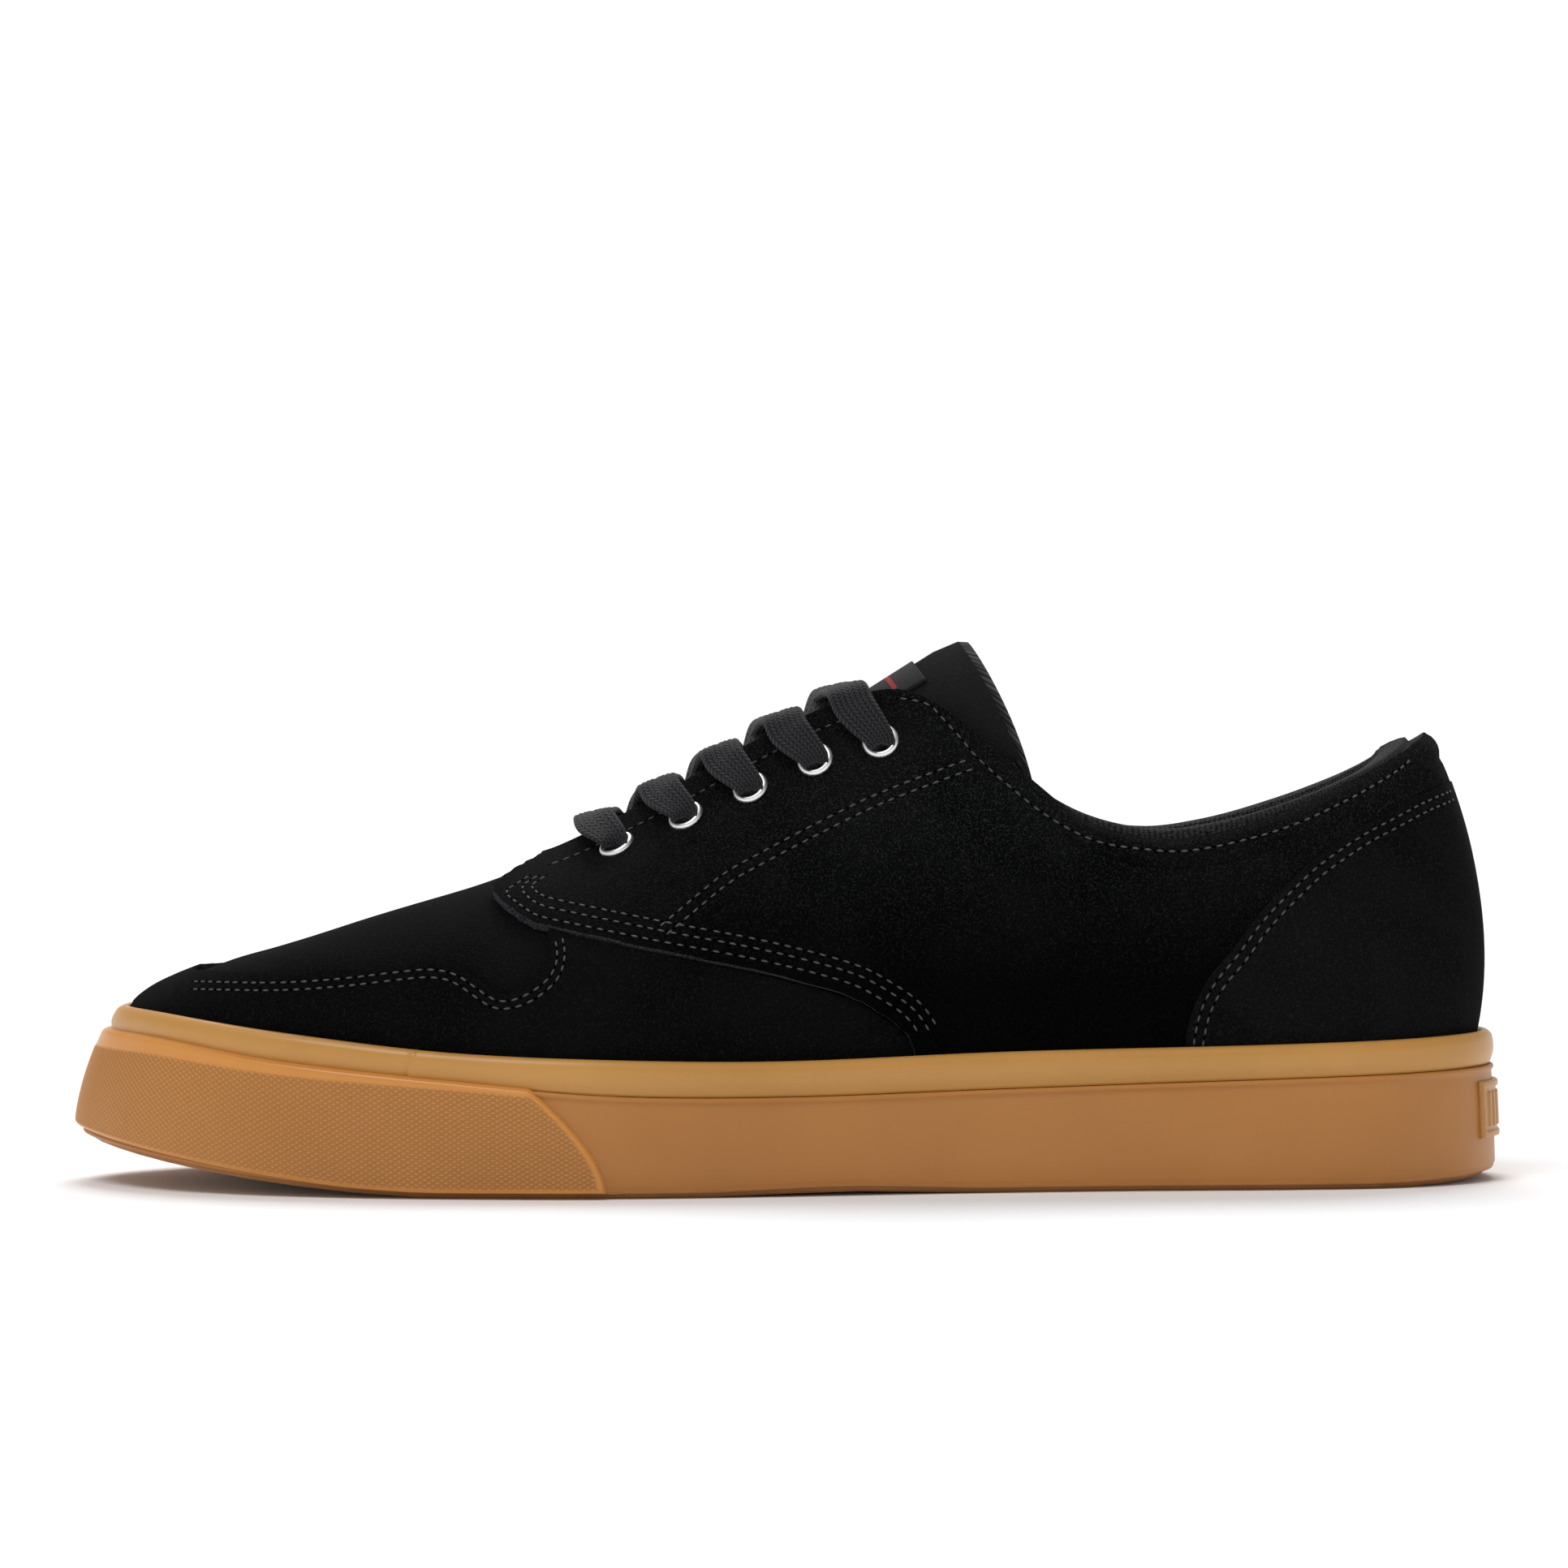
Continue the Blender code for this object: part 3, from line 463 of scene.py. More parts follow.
seam_around = share_at(seam_top) / 2.0
tape_arounds = sorted(
    {i / columns_round for i in range(columns_round + 1)}
    | {round(seam_around + i * 0.00035, 6) for i in range(-30, 25)}
)
TAPE_FACE = (
    (0.995, 0.0012),
    (0.985, 0.0006),
    (0.945, 0.0002),
    (0.86, -0.6 * tape_bulge),
    (0.70, -0.95 * tape_bulge),
    (0.50, -tape_bulge),
    (0.32, -0.75 * tape_bulge),
    (0.17, -0.1 * tape_bulge),
    (0.07, 0.0002),
    (0.00, 0.0004),
)
tape_rows = [row(line, tape_thickness), row(lambda x: top(x) - 0.0004, tape_thickness)]
tape_rows += [tape_row(share, inset) for share, inset in TAPE_FACE]
tape = made_piece("foxing_band", band(tape_rows, tape_arounds), tape_gum)
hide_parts("foxing_tape")

# Toe bumper: an extra layer of rubber pressed round the toe, with a smooth border and a field of
# small raised diamonds against scuffs. It ends in a rounded slope on each side.
bumper_back_top = 0.326
bumper_back_foot = 0.379
bumper_proud = 0.0014
diamond_wide = 0.00172
diamond_rise = 0.00048
layers_height = 0.0016
bumper_gum = gum("bumper_gum", (0.54, 0.222, 0.042), (0.60, 0.255, 0.055), 0.32)


def evenly_round(reach, step):
    """Places round the toe, evenly spaced along the side, from one side to the other."""
    places, gone = [reach], 0.0
    around = reach
    last = side_point(around, 0.015, 0.0)
    while around > -reach:
        around -= 0.0001
        here = side_point(around, 0.015, 0.0)
        gone += (here - last).length
        last = here
        if gone >= step:
            gone -= step
            places.append(around)
    return places


def scaled(tree, colour, by):
    """Colour made lighter or darker."""
    made = node(tree, "VectorMath", set_operation="SCALE", in0=colour, Scale=by)
    return made.outputs["Vector"]


bumper_places = evenly_round(share_at(bumper_back_foot) / 2.0 + 0.003, diamond_wide / 4.0)
bumper_columns = len(bumper_places) - 1
bumper_rows = 84
bumper_grooves = {}


def bumper_point(i, j):
    """Point of the bumper's face at a column and a row of its fine grid."""
    around = bumper_places[i]
    x = edge(around).x
    low, high = bottom(x) + 1.1 * rim_drop, line(x) + 0.0006
    low += layers_height * max(0.0, 1.0 - (x / sole_length + 0.5) / 0.2)
    height = low + (high - low) * j / bumper_rows
    under_top = line(x) + 0.0002 - height
    over_foot = height - low
    b = min(max((height - low) / (high - low), 0.0), 1.0)
    back = bumper_back_top + (bumper_back_foot - bumper_back_top) * (1.0 - b**1.8)
    ahead = ((back - 0.5) * sole_length - x) * 0.8
    inside = min(under_top, over_foot, ahead)
    if inside <= 0.0:
        return side_point(around, height, 0.0006)
    proud = bumper_proud * math.sqrt(1.0 - (1.0 - min(inside / 0.0010, 1.0)) ** 2)
    along = x / sole_length + 0.5
    border = 0.0034 - 0.0022 * min(along / 0.30, 1.0)
    field = min(under_top - border, over_foot - 0.0006, ahead - 0.0009) / 0.0006
    field = min(max(field, 0.0), 1.0)
    ridge = min(abs((i + j) % 4 - 2), abs((i - j) % 4 - 2)) / 2.0
    # Groove depth, kept for the painted shade that darkens the grooves.
    bumper_grooves[i, j] = field * (1.0 - ridge)
    return side_point(around, height, -proud - field * diamond_rise * (ridge - 0.45))


bm = bmesh.new()
groove = bm.verts.layers.float.new("groove")
bumper_marks = sheet(
    bm,
    bumper_columns,
    bumper_rows,
    lambda a, b: bumper_point(round(a * bumper_columns), round(b * bumper_rows)),
)
for vert, (a, b) in bumper_marks.items():
    vert[groove] = bumper_grooves.get((round(a * bumper_columns), round(b * bumper_rows)), 0.0)
bmesh.ops.recalc_face_normals(bm, faces=bm.faces)
# The grooves between the diamonds are painted down to 0.66 of the gum's colour, as painted shade in the
# relief; the rest of the bumper is scaled up to 1.10.
tree = bumper_gum.node_tree
shader = tree.nodes["Principled BSDF"]
bumper_mark = node(tree, "Attribute", set_attribute_name="groove").outputs["Fac"]
bumper_shade = node(tree, "MapRange", Value=bumper_mark, To_Min=1.10, To_Max=0.66).outputs["Result"]
bumper_colour = shader.inputs["Base Color"].links[0].from_socket
fill(tree, shader, Base_Color=scaled(tree, bumper_colour, bumper_shade))
bumper = made_piece("knurled_bumper", bm, bumper_gum)
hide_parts("toe_bumper")

# Heel badge: a small moulded rubber plate glued to the back of the cup, with a raised rim and
# plain upright ribs inside it.
badge_thickness = 0.0008
badge_rim = 0.0013
badge_half_width = 0.0196
badge_bottom = 0.0090
badge_height = 0.0118
badge_corner = 0.0003
badge_field_depth = 0.0005
badge_rib_margin = 0.0011
badge_rib_pitch = 0.0030
badge_rib_rise = 0.0004
badge_gum = gum("badge_gum", (0.44, 0.215, 0.060), (0.50, 0.245, 0.075), 0.40)


def from_heel(distance):
    """Share of the way round the foot from the middle of the heel to a distance beside it."""
    around = 0.5
    while (edge(around) - edge(0.5)).length < distance:
        around += 0.0005
    return around - 0.5


badge_reach = from_heel(badge_half_width)
badge_columns, badge_lines = 140, 48


def badge_point(a, b):
    """Point of the badge's face. The rim and the ribs stand above the field."""
    from_side = min(a, 1.0 - a) * 2.0 * badge_half_width
    from_end = min(b, 1.0 - b) * badge_height
    rim = min(from_side, from_end)
    rise = badge_thickness * min(rim / badge_corner, 1.0) ** 0.5
    if rim > badge_rim:
        rise -= badge_field_depth * min((rim - badge_rim) / badge_corner, 1.0)
    if rim > badge_rim + badge_rib_margin:
        wave = math.cos(2.0 * math.pi * (a - 0.5) * 2.0 * badge_half_width / badge_rib_pitch)
        rise += badge_rib_rise * min(max(0.5 + 1.8 * wave, 0.0), 1.0)
    around = 0.5 + badge_reach * (2.0 * a - 1.0)
    return side_point(around, badge_bottom + badge_height * b, -clearance - rise)


def badge_back(a, b):
    """Point of the badge's glued back."""
    around = 0.5 + badge_reach * (2.0 * a - 1.0)
    return side_point(around, badge_bottom + badge_height * b, 0.0002)


def slab(bm, across, along, front, back):
    """Closed pad between two laid grids, joined round their edges."""
    sheet(bm, across, along, front)
    sheet(bm, across, along, back)
    bmesh.ops.bridge_loops(bm, edges=[item for item in bm.edges if item.is_boundary])
    bmesh.ops.recalc_face_normals(bm, faces=bm.faces)


bm = bmesh.new()
slab(bm, badge_columns, badge_lines, badge_point, badge_back)
badge = made_piece("heel_plate", bm, badge_gum)
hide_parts("heel_badge")

# Outsole: the tread sheet, pressed from the same rubber.
# It is cemented under the cup, and its matt face is a little darker.
tread_gum = gum("tread_gum", (0.34, 0.150, 0.042), (0.40, 0.175, 0.052), 0.55)
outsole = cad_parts["outsole"]
outsole.data.materials.clear()
outsole.data.materials.append(tread_gum)

# Upper: the lasted vamp and inner quarters, one suede wall with a cloth lining. It is pulled down
# round the last and glued into the cup, and it is open at the throat, the collar and underneath.
instep_height = 0.1020
wall_thickness = 0.0018
quarter_thickness = 0.0020
eyelets_a_side = 5
eyelet_barrel = 0.0028
eyelet_setback = 0.0115
first_eyelet = 0.421
last_eyelet = 0.579
rows_inside_sole = 4
rows_above_sole = 38

UPPER = Chart(
    ("around", "top_along", "gap", "top", "flare", "lean", "low", "high"),
    (
        (0.00, 0.135, 0.000, 0.462, -50, 90, 0.25, 0.33),
        (0.08, 0.149, 0.000, 0.473, -38, 90, 0.27, 0.36),
        (0.16, 0.183, 0.000, 0.503, -16, 90, 0.32, 0.42),
        (0.24, 0.233, 0.000, 0.558, 2, 90, 0.34, 0.44),
        (0.32, 0.294, 0.000, 0.618, 8, 90, 0.34, 0.44),
        (0.36, 0.328, 0.026, 0.648, 9, 80, 0.34, 0.43),
        (0.38, 0.344, 0.052, 0.664, 9, 72, 0.34, 0.41),
        (0.41, 0.375, 0.074, 0.709, 9, 62, 0.33, 0.38),
        (0.46, 0.432, 0.116, 0.799, 9, 52, 0.33, 0.36),
        (0.51, 0.486, 0.148, 0.889, 8, 43, 0.33, 0.35),
        (0.56, 0.541, 0.180, 0.963, 8, 36, 0.33, 0.35),
        (0.595, 0.580, 0.203, 0.988, 8, 30, 0.33, 0.34),
        (0.63, 0.614, 0.232, 0.943, 8, 24, 0.33, 0.34),
        (0.67, 0.662, 0.272, 0.826, 8, 14, 0.34, 0.34),
        (0.71, 0.709, 0.290, 0.739, 8, 8, 0.35, 0.34),
        (0.75, 0.757, 0.294, 0.707, 8, 6, 0.35, 0.34),
        (0.79, 0.804, 0.278, 0.724, 8, 6, 0.35, 0.34),
        (0.84, 0.855, 0.240, 0.769, 9, 10, 0.35, 0.34),
        (0.90, 0.9006, 0.180, 0.822, 10, 16, 0.35, 0.35),
        (0.94, 0.926, 0.126, 0.859, 11, 20, 0.35, 0.35),
        (0.97, 0.9422, 0.069, 0.889, 12, 23, 0.35, 0.35),
        (1.00, 0.949, 0.000, 0.906, 12, 25, 0.35, 0.35),
    ),
)
throat_start = 0.350
crest_turn = 0.0045
collar_drop = 0.0026

# Soft folds and swells of the suede: along, up and radius as shares, then the rise in millimetres.
SWELLS = (
    (0.200, 0.52, 0.060, 0.5),
    (0.285, 0.60, 0.040, -0.4),
    (0.335, 0.58, 0.030, 0.5),
    (0.400, 0.42, 0.060, 0.5),
    (0.500, 0.62, 0.045, -0.5),
    (0.560, 0.50, 0.060, 0.4),
    (0.640, 0.62, 0.050, 0.9),
    (0.700, 0.50, 0.070, -0.7),
    (0.760, 0.58, 0.045, 0.8),
    (0.840, 0.64, 0.035, 0.7),
    (0.880, 0.48, 0.055, -0.3),
)


def crest_y(along):
    """Side shift of the ridge, towards the big toe."""
    return crest_turn * max(0.0, 1.0 - along / 0.75) - side_shift


def upper_top(around):
    """Point on the crest, the throat's edge or the collar's edge."""
    side, share = split(around)
    along = UPPER.read("top_along", share)
    gap = UPPER.read("gap", share) * ball_width if share > throat_start else 0.0
    up = UPPER.read("top", share) * instep_height
    return Vector(((along - 0.5) * sole_length, crest_y(along) + side * max(gap, 0.0), up))


def crest_slope(share):
    """Rise of the crest over its run towards the heel."""
    ahead, behind = upper_top((share + 0.01) / 2.0), upper_top(max(share - 0.01, 0.0) / 2.0)
    return (ahead.z - behind.z) / max(ahead.x - behind.x, 1e-6)


def level_height(x, level):
    """Height at row level 0 (floor), 1 (line between the bands) or 2 (top of the upper band)."""
    heights = (floor(x) + 2 * clearance, line(x) + clearance, top(x))
    low = min(int(level), 1)
    return heights[low] + (heights[low + 1] - heights[low]) * (level - low)


def upper_surface(around, level):
    """Point of the upper's outer face. Levels 0 to 2 climb inside the sole, 2 to 3 are above it."""
    side, share = split(around)
    inset = seat(share)
    x = edge(around).x
    if level <= 2.0:
        return side_point(around, level_height(x, level), inset)
    foot = side_point(around, level_height(x, 2.0), inset)
    head = upper_top(around)
    chord = (head - foot).length
    away = outward(around)
    flare = math.radians(UPPER.read("flare", share))
    lean = math.radians(UPPER.read("lean", share))
    start = away * math.sin(flare) + Vector((0, 0, math.cos(flare)))
    if share <= throat_start:
        run = head.x - foot.x
        end = Vector((run, head.y - foot.y, run * crest_slope(share))).normalized()
    else:
        end = -away * math.sin(lean) + Vector((0, 0, math.cos(lean)))
    low = foot + start * chord * UPPER.read("low", share)
    high = head - end * chord * UPPER.read("high", share)
    t = level - 2.0
    return (1 - t) ** 3 * foot + 3 * (1 - t) ** 2 * t * low + 3 * (1 - t) * t * t * high + t**3 * head


def upper_normal(around, level):
    """Unit vector out of the upper's outer face."""
    reach, lift = 0.003, 0.02
    run = upper_surface(around + reach, level) - upper_surface(around - reach, level)
    side, share = split(around)
    if level > 2.5 and (share < reach * 2.0 or abs(share - throat_start) < 0.02):
        run = upper_surface(around + reach * 2.0, level) - upper_surface(around - reach * 2.0, level)
    if level > 2.98 and share <= throat_start:
        slope = crest_slope(share)
        return Vector((-slope, 0.0, 1.0)).normalized()
    if share > throat_start:
        level = min(level, 2.93)
        run = upper_surface(around + reach, level) - upper_surface(around - reach, level)
    rise = upper_surface(around, min(level + lift, 3.0)) - upper_surface(around, max(level - lift, 0.0))
    return run.cross(rise).normalized()


@lru_cache(maxsize=None)
def down_from_edge(around, distance):
    """Level that lies a distance down the upper from its top edge."""
    level = 3.0
    here = upper_surface(around, level)
    gone = 0.0
    while gone < distance and level > 0.01:
        level -= 0.005
        there = upper_surface(around, level)
        gone += (there - here).length
        here = there
    return level


def eyelet_seat(side, number):
    """Place round the foot and level of an eyelet, numbered from the toe."""
    share = first_eyelet + (last_eyelet - first_eyelet) * number / (eyelets_a_side - 1)
    around = join(side, share)
    return around, down_from_edge(around, eyelet_setback)


def swell(point):
    """Rise of the suede at a point, from the soft folds and swells."""
    along, up = point.x / sole_length + 0.5, point.z / instep_height
    rise = 0.0
    for at_along, at_up, radius, high in SWELLS:
        apart = ((along - at_along) / radius) ** 2 + ((up - at_up) * 0.35 / radius) ** 2
        rise += 0.001 * high * math.exp(-apart)
    return rise


LEVELS = [2.0 * i / rows_inside_sole for i in range(rows_inside_sole)]
LEVELS += [2.0 + i / rows_above_sole for i in range(rows_above_sole - 2)]
LEVELS += [2.95, 2.96, 2.97, 2.98, 2.99, 3.0]
upper_columns = 400
wall_grid = {}


def soft_step(value):
    """Smooth rise from 0 to 1 as a value goes from 0 to 1."""
    value = min(max(value, 0.0), 1.0)
    return value * value * (3.0 - 2.0 * value)


def collar_roll(share, depth):
    """Rise of the suede at a depth below the collar's edge: it rolls over the foam above a row of
    stitches, and swells again under it."""

    def hump(high, at, reach):
        return high * math.exp(-(((depth - at) / reach) ** 2))

    roll = hump(0.0008, 0.0024, 0.0015) - hump(0.0012, 0.0, 0.0008)
    seam = hump(0.0005, 0.0050, 0.0011)
    foam = hump(0.0008, 0.0150, 0.0070)
    heel = soft_step((share - 0.86) / 0.10)
    return ((roll - seam) * (1.0 - 0.4 * heel) + foam * (1.0 - heel)) * soft_step((share - 0.64) / 0.08)


def wall_place(column, level):
    """Point and outward direction of the upper's outer face, kept once worked out. Along the
    collar its edge lies lower than the knit."""
    key = (column % upper_columns, level)
    if key not in wall_grid:
        around = key[0] / upper_columns
        share = split(around)[1]
        per_metre = (3.0 - down_from_edge(around, 0.02)) / 0.02
        drop = collar_drop * soft_step((share - 0.655) / 0.05)
        drop *= 1.0 - 0.55 * soft_step((share - 0.78) / 0.17)
        if level > 2.0:
            level = 2.0 + (level - 2.0) * (1.0 - drop * per_metre)
        point = upper_surface(around, level)
        fade = min(max((level - 2.05) / 0.2, 0.0), 1.0)
        normal = upper_normal(around, level)
        depth = (3.0 - level) / per_metre - drop
        wall_grid[key] = (point + normal * (swell(point) * fade + collar_roll(share, depth)), normal)
    return wall_grid[key]


def skin(out, levels):
    """Bmesh all round the foot, at a distance out from the upper's wall, closed along the crest."""
    bm = bmesh.new()

    def place(a, b):
        point, normal = wall_place(round(a * upper_columns), levels[round(b * (len(levels) - 1))])
        return point + normal * out

    sheet(bm, upper_columns, len(levels) - 1, place)
    bmesh.ops.remove_doubles(bm, verts=bm.verts, dist=0.00005)
    pole = wall_place(0, 3.0)[0]
    puckered = [vert for vert in bm.verts if (vert.co - pole).length < 0.007]
    axes = {"use_axis_x": True, "use_axis_y": True, "use_axis_z": True}
    for _ in range(12):
        bmesh.ops.smooth_vert(bm, verts=puckered, factor=0.5, **axes)
    return bm


def near(bm, point, reach):
    """Faces, edges and corners that come close to a point."""
    faces = [face for face in bm.faces if (face.verts[0].co - point).length < reach]
    edges = {item for face in faces for item in face.edges}
    verts = {item for face in faces for item in face.verts}
    return faces + list(edges) + list(verts)


def punch(bm, point, normal, radius):
    """Round hole through a sheet."""
    side = normal.orthogonal().normalized()
    for i in range(12):
        away = Matrix.Rotation(2.0 * math.pi * i / 12, 3, normal) @ side
        bmesh.ops.bisect_plane(
            bm,
            geom=near(bm, point, 3.0 * radius),
            plane_co=point + away * radius,
            plane_no=away,
            dist=0.00001,
        )
    gone = []
    for face in bm.faces:
        apart = face.calc_center_median() - point
        if apart.length < radius * 1.3 and (apart - normal * apart.dot(normal)).length < radius:
            gone.append(face)
    bmesh.ops.delete(bm, geom=gone, context="FACES")


def on_wall(around, level, out):
    """Point at a distance out from the upper's wall, and the direction out of it."""
    normal = upper_normal(around, level)
    return upper_surface(around, level) + normal * out, normal


def punch_eyelets(bm, side, out):
    """Holes for one side's eyelets, in a sheet at a distance out from the wall."""
    for number in range(eyelets_a_side):
        point, normal = on_wall(*eyelet_seat(side, number), out)
        punch(bm, point, normal, eyelet_barrel + 0.0002)


def suede(name, dark, pale, nap=1.0, foot=1.0, head=1.0):
    """Black suede: cloudy nap that was brushed both ways, short lighter fibres and a soft sheen.
    foot and head scale its tone at the sole and at the collar, as painted shade low down and painted light
    from above."""
    made, tree, shader = paint(name)
    where = node(tree, "TexCoord").outputs["Object"]
    clouds = ramp(tree, noise(tree, where, 38.0, 2.0, Distortion=0.6), 0.32, dark, 0.72, pale)
    fibres = noise(tree, where, 2600.0, 1.0, Roughness=0.6)
    fibres = ramp(tree, fibres, 0.50, (0.0, 0.0, 0.0), 0.72, (1.0, 1.0, 1.0))
    colour = mixed(tree, fibres, clouds, (0.012 * nap, 0.012 * nap, 0.0126 * nap, 1.0))
    up = node(tree, "SeparateXYZ", Vector=where).outputs["Z"]
    # Tone scaled with height, from foot below to head above: painted shade low down and painted light from
    # above.
    painted_light_by_height = node(tree, "MapRange", Value=up, From_Min=0.042, From_Max=0.076, To_Min=foot, To_Max=head)
    fill(
        tree,
        shader,
        Base_Color=scaled(tree, colour, painted_light_by_height.outputs["Result"]),
        Normal=bumped(tree, noise(tree, where, 2000.0, 2.0), 0.7, 0.0005),
        Roughness=0.95,
        Specular_IOR_Level=0.03,
        Sheen_Weight=0.008 * nap,
        Sheen_Roughness=0.45,
        Sheen_Tint=(0.85, 0.88, 1.0, 1.0),
    )
    return made


def cloth(name, dark, pale, pitch, deep, rise):
    """Knitted or woven cloth: rounded loops with painted shade in the gaps between them. pitch is a loop's
    width and deep its height, both in metres."""
    made, tree, shader = paint(name)
    where = node(tree, "TexCoord").outputs["UV"]
    where = node(tree, "Mapping", Vector=where, Scale=(1.0, pitch / deep, 1.0)).outputs["Vector"]
    loops = node(tree, "TexVoronoi", Vector=where, Scale=1.0 / pitch, Randomness=0.35)
    loops = loops.outputs["Distance"]
    fill(
        tree,
        shader,
        Base_Color=ramp(tree, loops, 0.22, pale, 0.56, dark),
        Normal=bumped(tree, loops, 0.8, rise, set_invert=True),
        Roughness=0.9,
        Specular_IOR_Level=0.15,
        Sheen_Weight=0.08,
        Sheen_Roughness=0.5,
    )
    return made


vamp_suede = suede("vamp_suede", (0.0022, 0.0021, 0.0022), (0.0046, 0.0044, 0.0046), 0.75)
lining = cloth("lining", (0.008, 0.008, 0.008), (0.030, 0.029, 0.030), 0.0010, 0.0010, 0.0003)


def thickened(target, thickness, offset, inside=0, rim=0):
    """Gives a sheet its thickness, with other materials for its back and its cut edge."""
    step = target.modifiers.new("thickness", "SOLIDIFY")
    step.thickness = thickness
    step.offset = offset
    step.use_quality_normals = True
    step.material_offset = inside
    step.material_offset_rim = rim


bm = skin(0.0, LEVELS)
bmesh.ops.recalc_face_normals(bm, faces=bm.faces)
for side in (OUTER, INNER):
    punch_eyelets(bm, side, 0.0)
vamp = made_piece("lasted_wall", bm, vamp_suede, lining)
thickened(vamp, wall_thickness, -1.0, inside=1)
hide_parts("upper")

# Toe guard: a second layer of suede over the toe and the sides of the forefoot, against griptape.
# Its top edge is cut clean and held by two rows of stitches, and it runs under the quarters.
GUARD_TOP = (
    (0.074, 0.470),
    (0.0795, 0.432),
    (0.088, 0.4275),
    (0.1003, 0.4285),
    (0.153, 0.4304),
    (0.1956, 0.439),
    (0.2341, 0.452),
    (0.2581, 0.458),
    (0.277, 0.449),
    (0.2916, 0.4235),
    (0.3064, 0.397),
    (0.3179, 0.401),
    (0.330, 0.4196),
    (0.3392, 0.445),
    (0.3416, 0.4745),
    (0.3385, 0.5130),
)
QUARTER_FRONT = (
    (0.331, 0.653),
    (0.325, 0.642),
    (0.315, 0.627),
    (0.304, 0.606),
    (0.2986, 0.5895),
    (0.302, 0.5725),
    (0.3142, 0.547),
    (0.3284, 0.5245),
    (0.3547, 0.508),
    (0.4149, 0.474),
    (0.4834, 0.436),
    (0.5385, 0.394),
    (0.5611, 0.361),
    (0.577, 0.328),
    (0.5865, 0.284),
    (0.590, 0.150),
)
stitch_pitch = 0.00245
stitch_length = 0.0016
stitch_width = 0.00048
hole_width = 0.0007
hole_depth = 0.00012


def between(values, i, f):
    """Value on a smooth curve through a row of values, a share f of the way from i to the next."""
    before, after = values[max(i - 1, 0)], values[min(i + 2, len(values) - 1)]
    a, b = values[i], values[i + 1]
    return 0.5 * (
        2 * a
        + (b - before) * f
        + (2 * before - 5 * a + 4 * b - after) * f**2
        + (3 * a - before - 3 * b + after) * f**3
    )


def rounded(outline, steps=4):
    """Smooth curve through the points of an outline."""
    points = [Vector((a * sole_length, u * instep_height)) for a, u in outline]
    curve = [between(points, i, k / steps) for i in range(len(points) - 1) for k in range(steps)]
    curve.append(points[-1])
    return [Vector((point.x - 0.5 * sole_length, 0.0, point.y)) for point in curve]


def inside(outline, x, z):
    """Whether a place seen from the side lies within a closed outline."""
    found = False
    for i, corner in enumerate(outline):
        last = outline[i - 1]
        if (corner.z > z) != (last.z > z):
            if x < (last.x - corner.x) * (z - corner.z) / (last.z - corner.z) + corner.x:
                found = not found
    return found


def trim(bm, curve, corners):
    """Cuts a sheet along a curve seen from the side, and keeps what lies within the curve closed
    by the corners, which are given as shares."""
    for start, end in zip(curve, curve[1:]):
        low_x, high_x = min(start.x, end.x) - 0.0001, max(start.x, end.x) + 0.0001
        low_z, high_z = min(start.z, end.z) - 0.0001, max(start.z, end.z) + 0.0001
        faces = []
        for face in bm.faces:
            if not low_x - 0.006 < face.verts[0].co.x < high_x + 0.006:
                continue
            xs = [vert.co.x for vert in face.verts]
            if min(xs) > high_x or max(xs) < low_x:
                continue
            zs = [vert.co.z for vert in face.verts]
            if min(zs) <= high_z and max(zs) >= low_z:
                faces.append(face)
        edges = {item for face in faces for item in face.edges}
        verts = {item for face in faces for item in face.verts}
        square = (end - start).cross(Vector((0.0, 1.0, 0.0)))
        if faces and square.length > 0.0:
            bmesh.ops.bisect_plane(
                bm,
                geom=faces + list(edges) + list(verts),
                plane_co=start,
                plane_no=square.normalized(),
                dist=0.00001,
            )
    closing = [Vector(((a - 0.5) * sole_length, 0.0, u * instep_height)) for a, u in corners]
    outline = curve + closing
    gone = []
    for face in bm.faces:
        middle = face.calc_center_median()
        if not inside(outline, middle.x, middle.z):
            gone.append(face)
    bmesh.ops.delete(bm, geom=gone, context="FACES")
    bmesh.ops.remove_doubles(bm, verts=bm.verts, dist=0.00008)
    bmesh.ops.recalc_face_normals(bm, faces=bm.faces)


def frayed(curve, reach, seed):
    """Curve with the small waves of a torn or brushed edge."""
    waved = []
    for i, point in enumerate(curve):
        run = curve[min(i + 1, len(curve) - 1)] - curve[max(i - 1, 0)]
        square = run.cross(Vector((0.0, 1.0, 0.0))).normalized()
        wave = math.sin(i * 1.9 + seed) + 0.6 * math.sin(i * 3.7 + 2.0 * seed)
        waved.append(point + square * reach * wave)
    return waved


def soft_edge(target, width):
    """Rounds the cut edges of a panel."""
    step = target.modifiers.new("soft_edge", "BEVEL")
    step.width = width
    step.segments = 2
    step.limit_method = "ANGLE"
    step.angle_limit = math.radians(50.0)


def panel(name, out, thickness, trims, materials, holes=None, keep=None, edge_radius=0.0004):
    """Suede panel over the wall: the skin at a distance out, trimmed by each curve in turn."""
    bm = skin(out, LEVELS[2:])
    if keep is not None:
        gone = [
            face for face in bm.faces if face.calc_center_median().y * keep < crest_side(face, keep)
        ]
        bmesh.ops.delete(bm, geom=gone, context="FACES")
    for curve, corners in trims:
        trim(bm, curve, corners)
    if holes is not None:
        punch_eyelets(bm, holes, out)
    made = made_piece(name, bm, *materials)
    thickened(made, thickness, 1.0, rim=1)
    soft_edge(made, edge_radius)
    return made


def crest_side(face, keep):
    """How far across the shoe the ridge lies at a face, towards the kept side."""
    return keep * crest_y(face.calc_center_median().x / sole_length + 0.5)


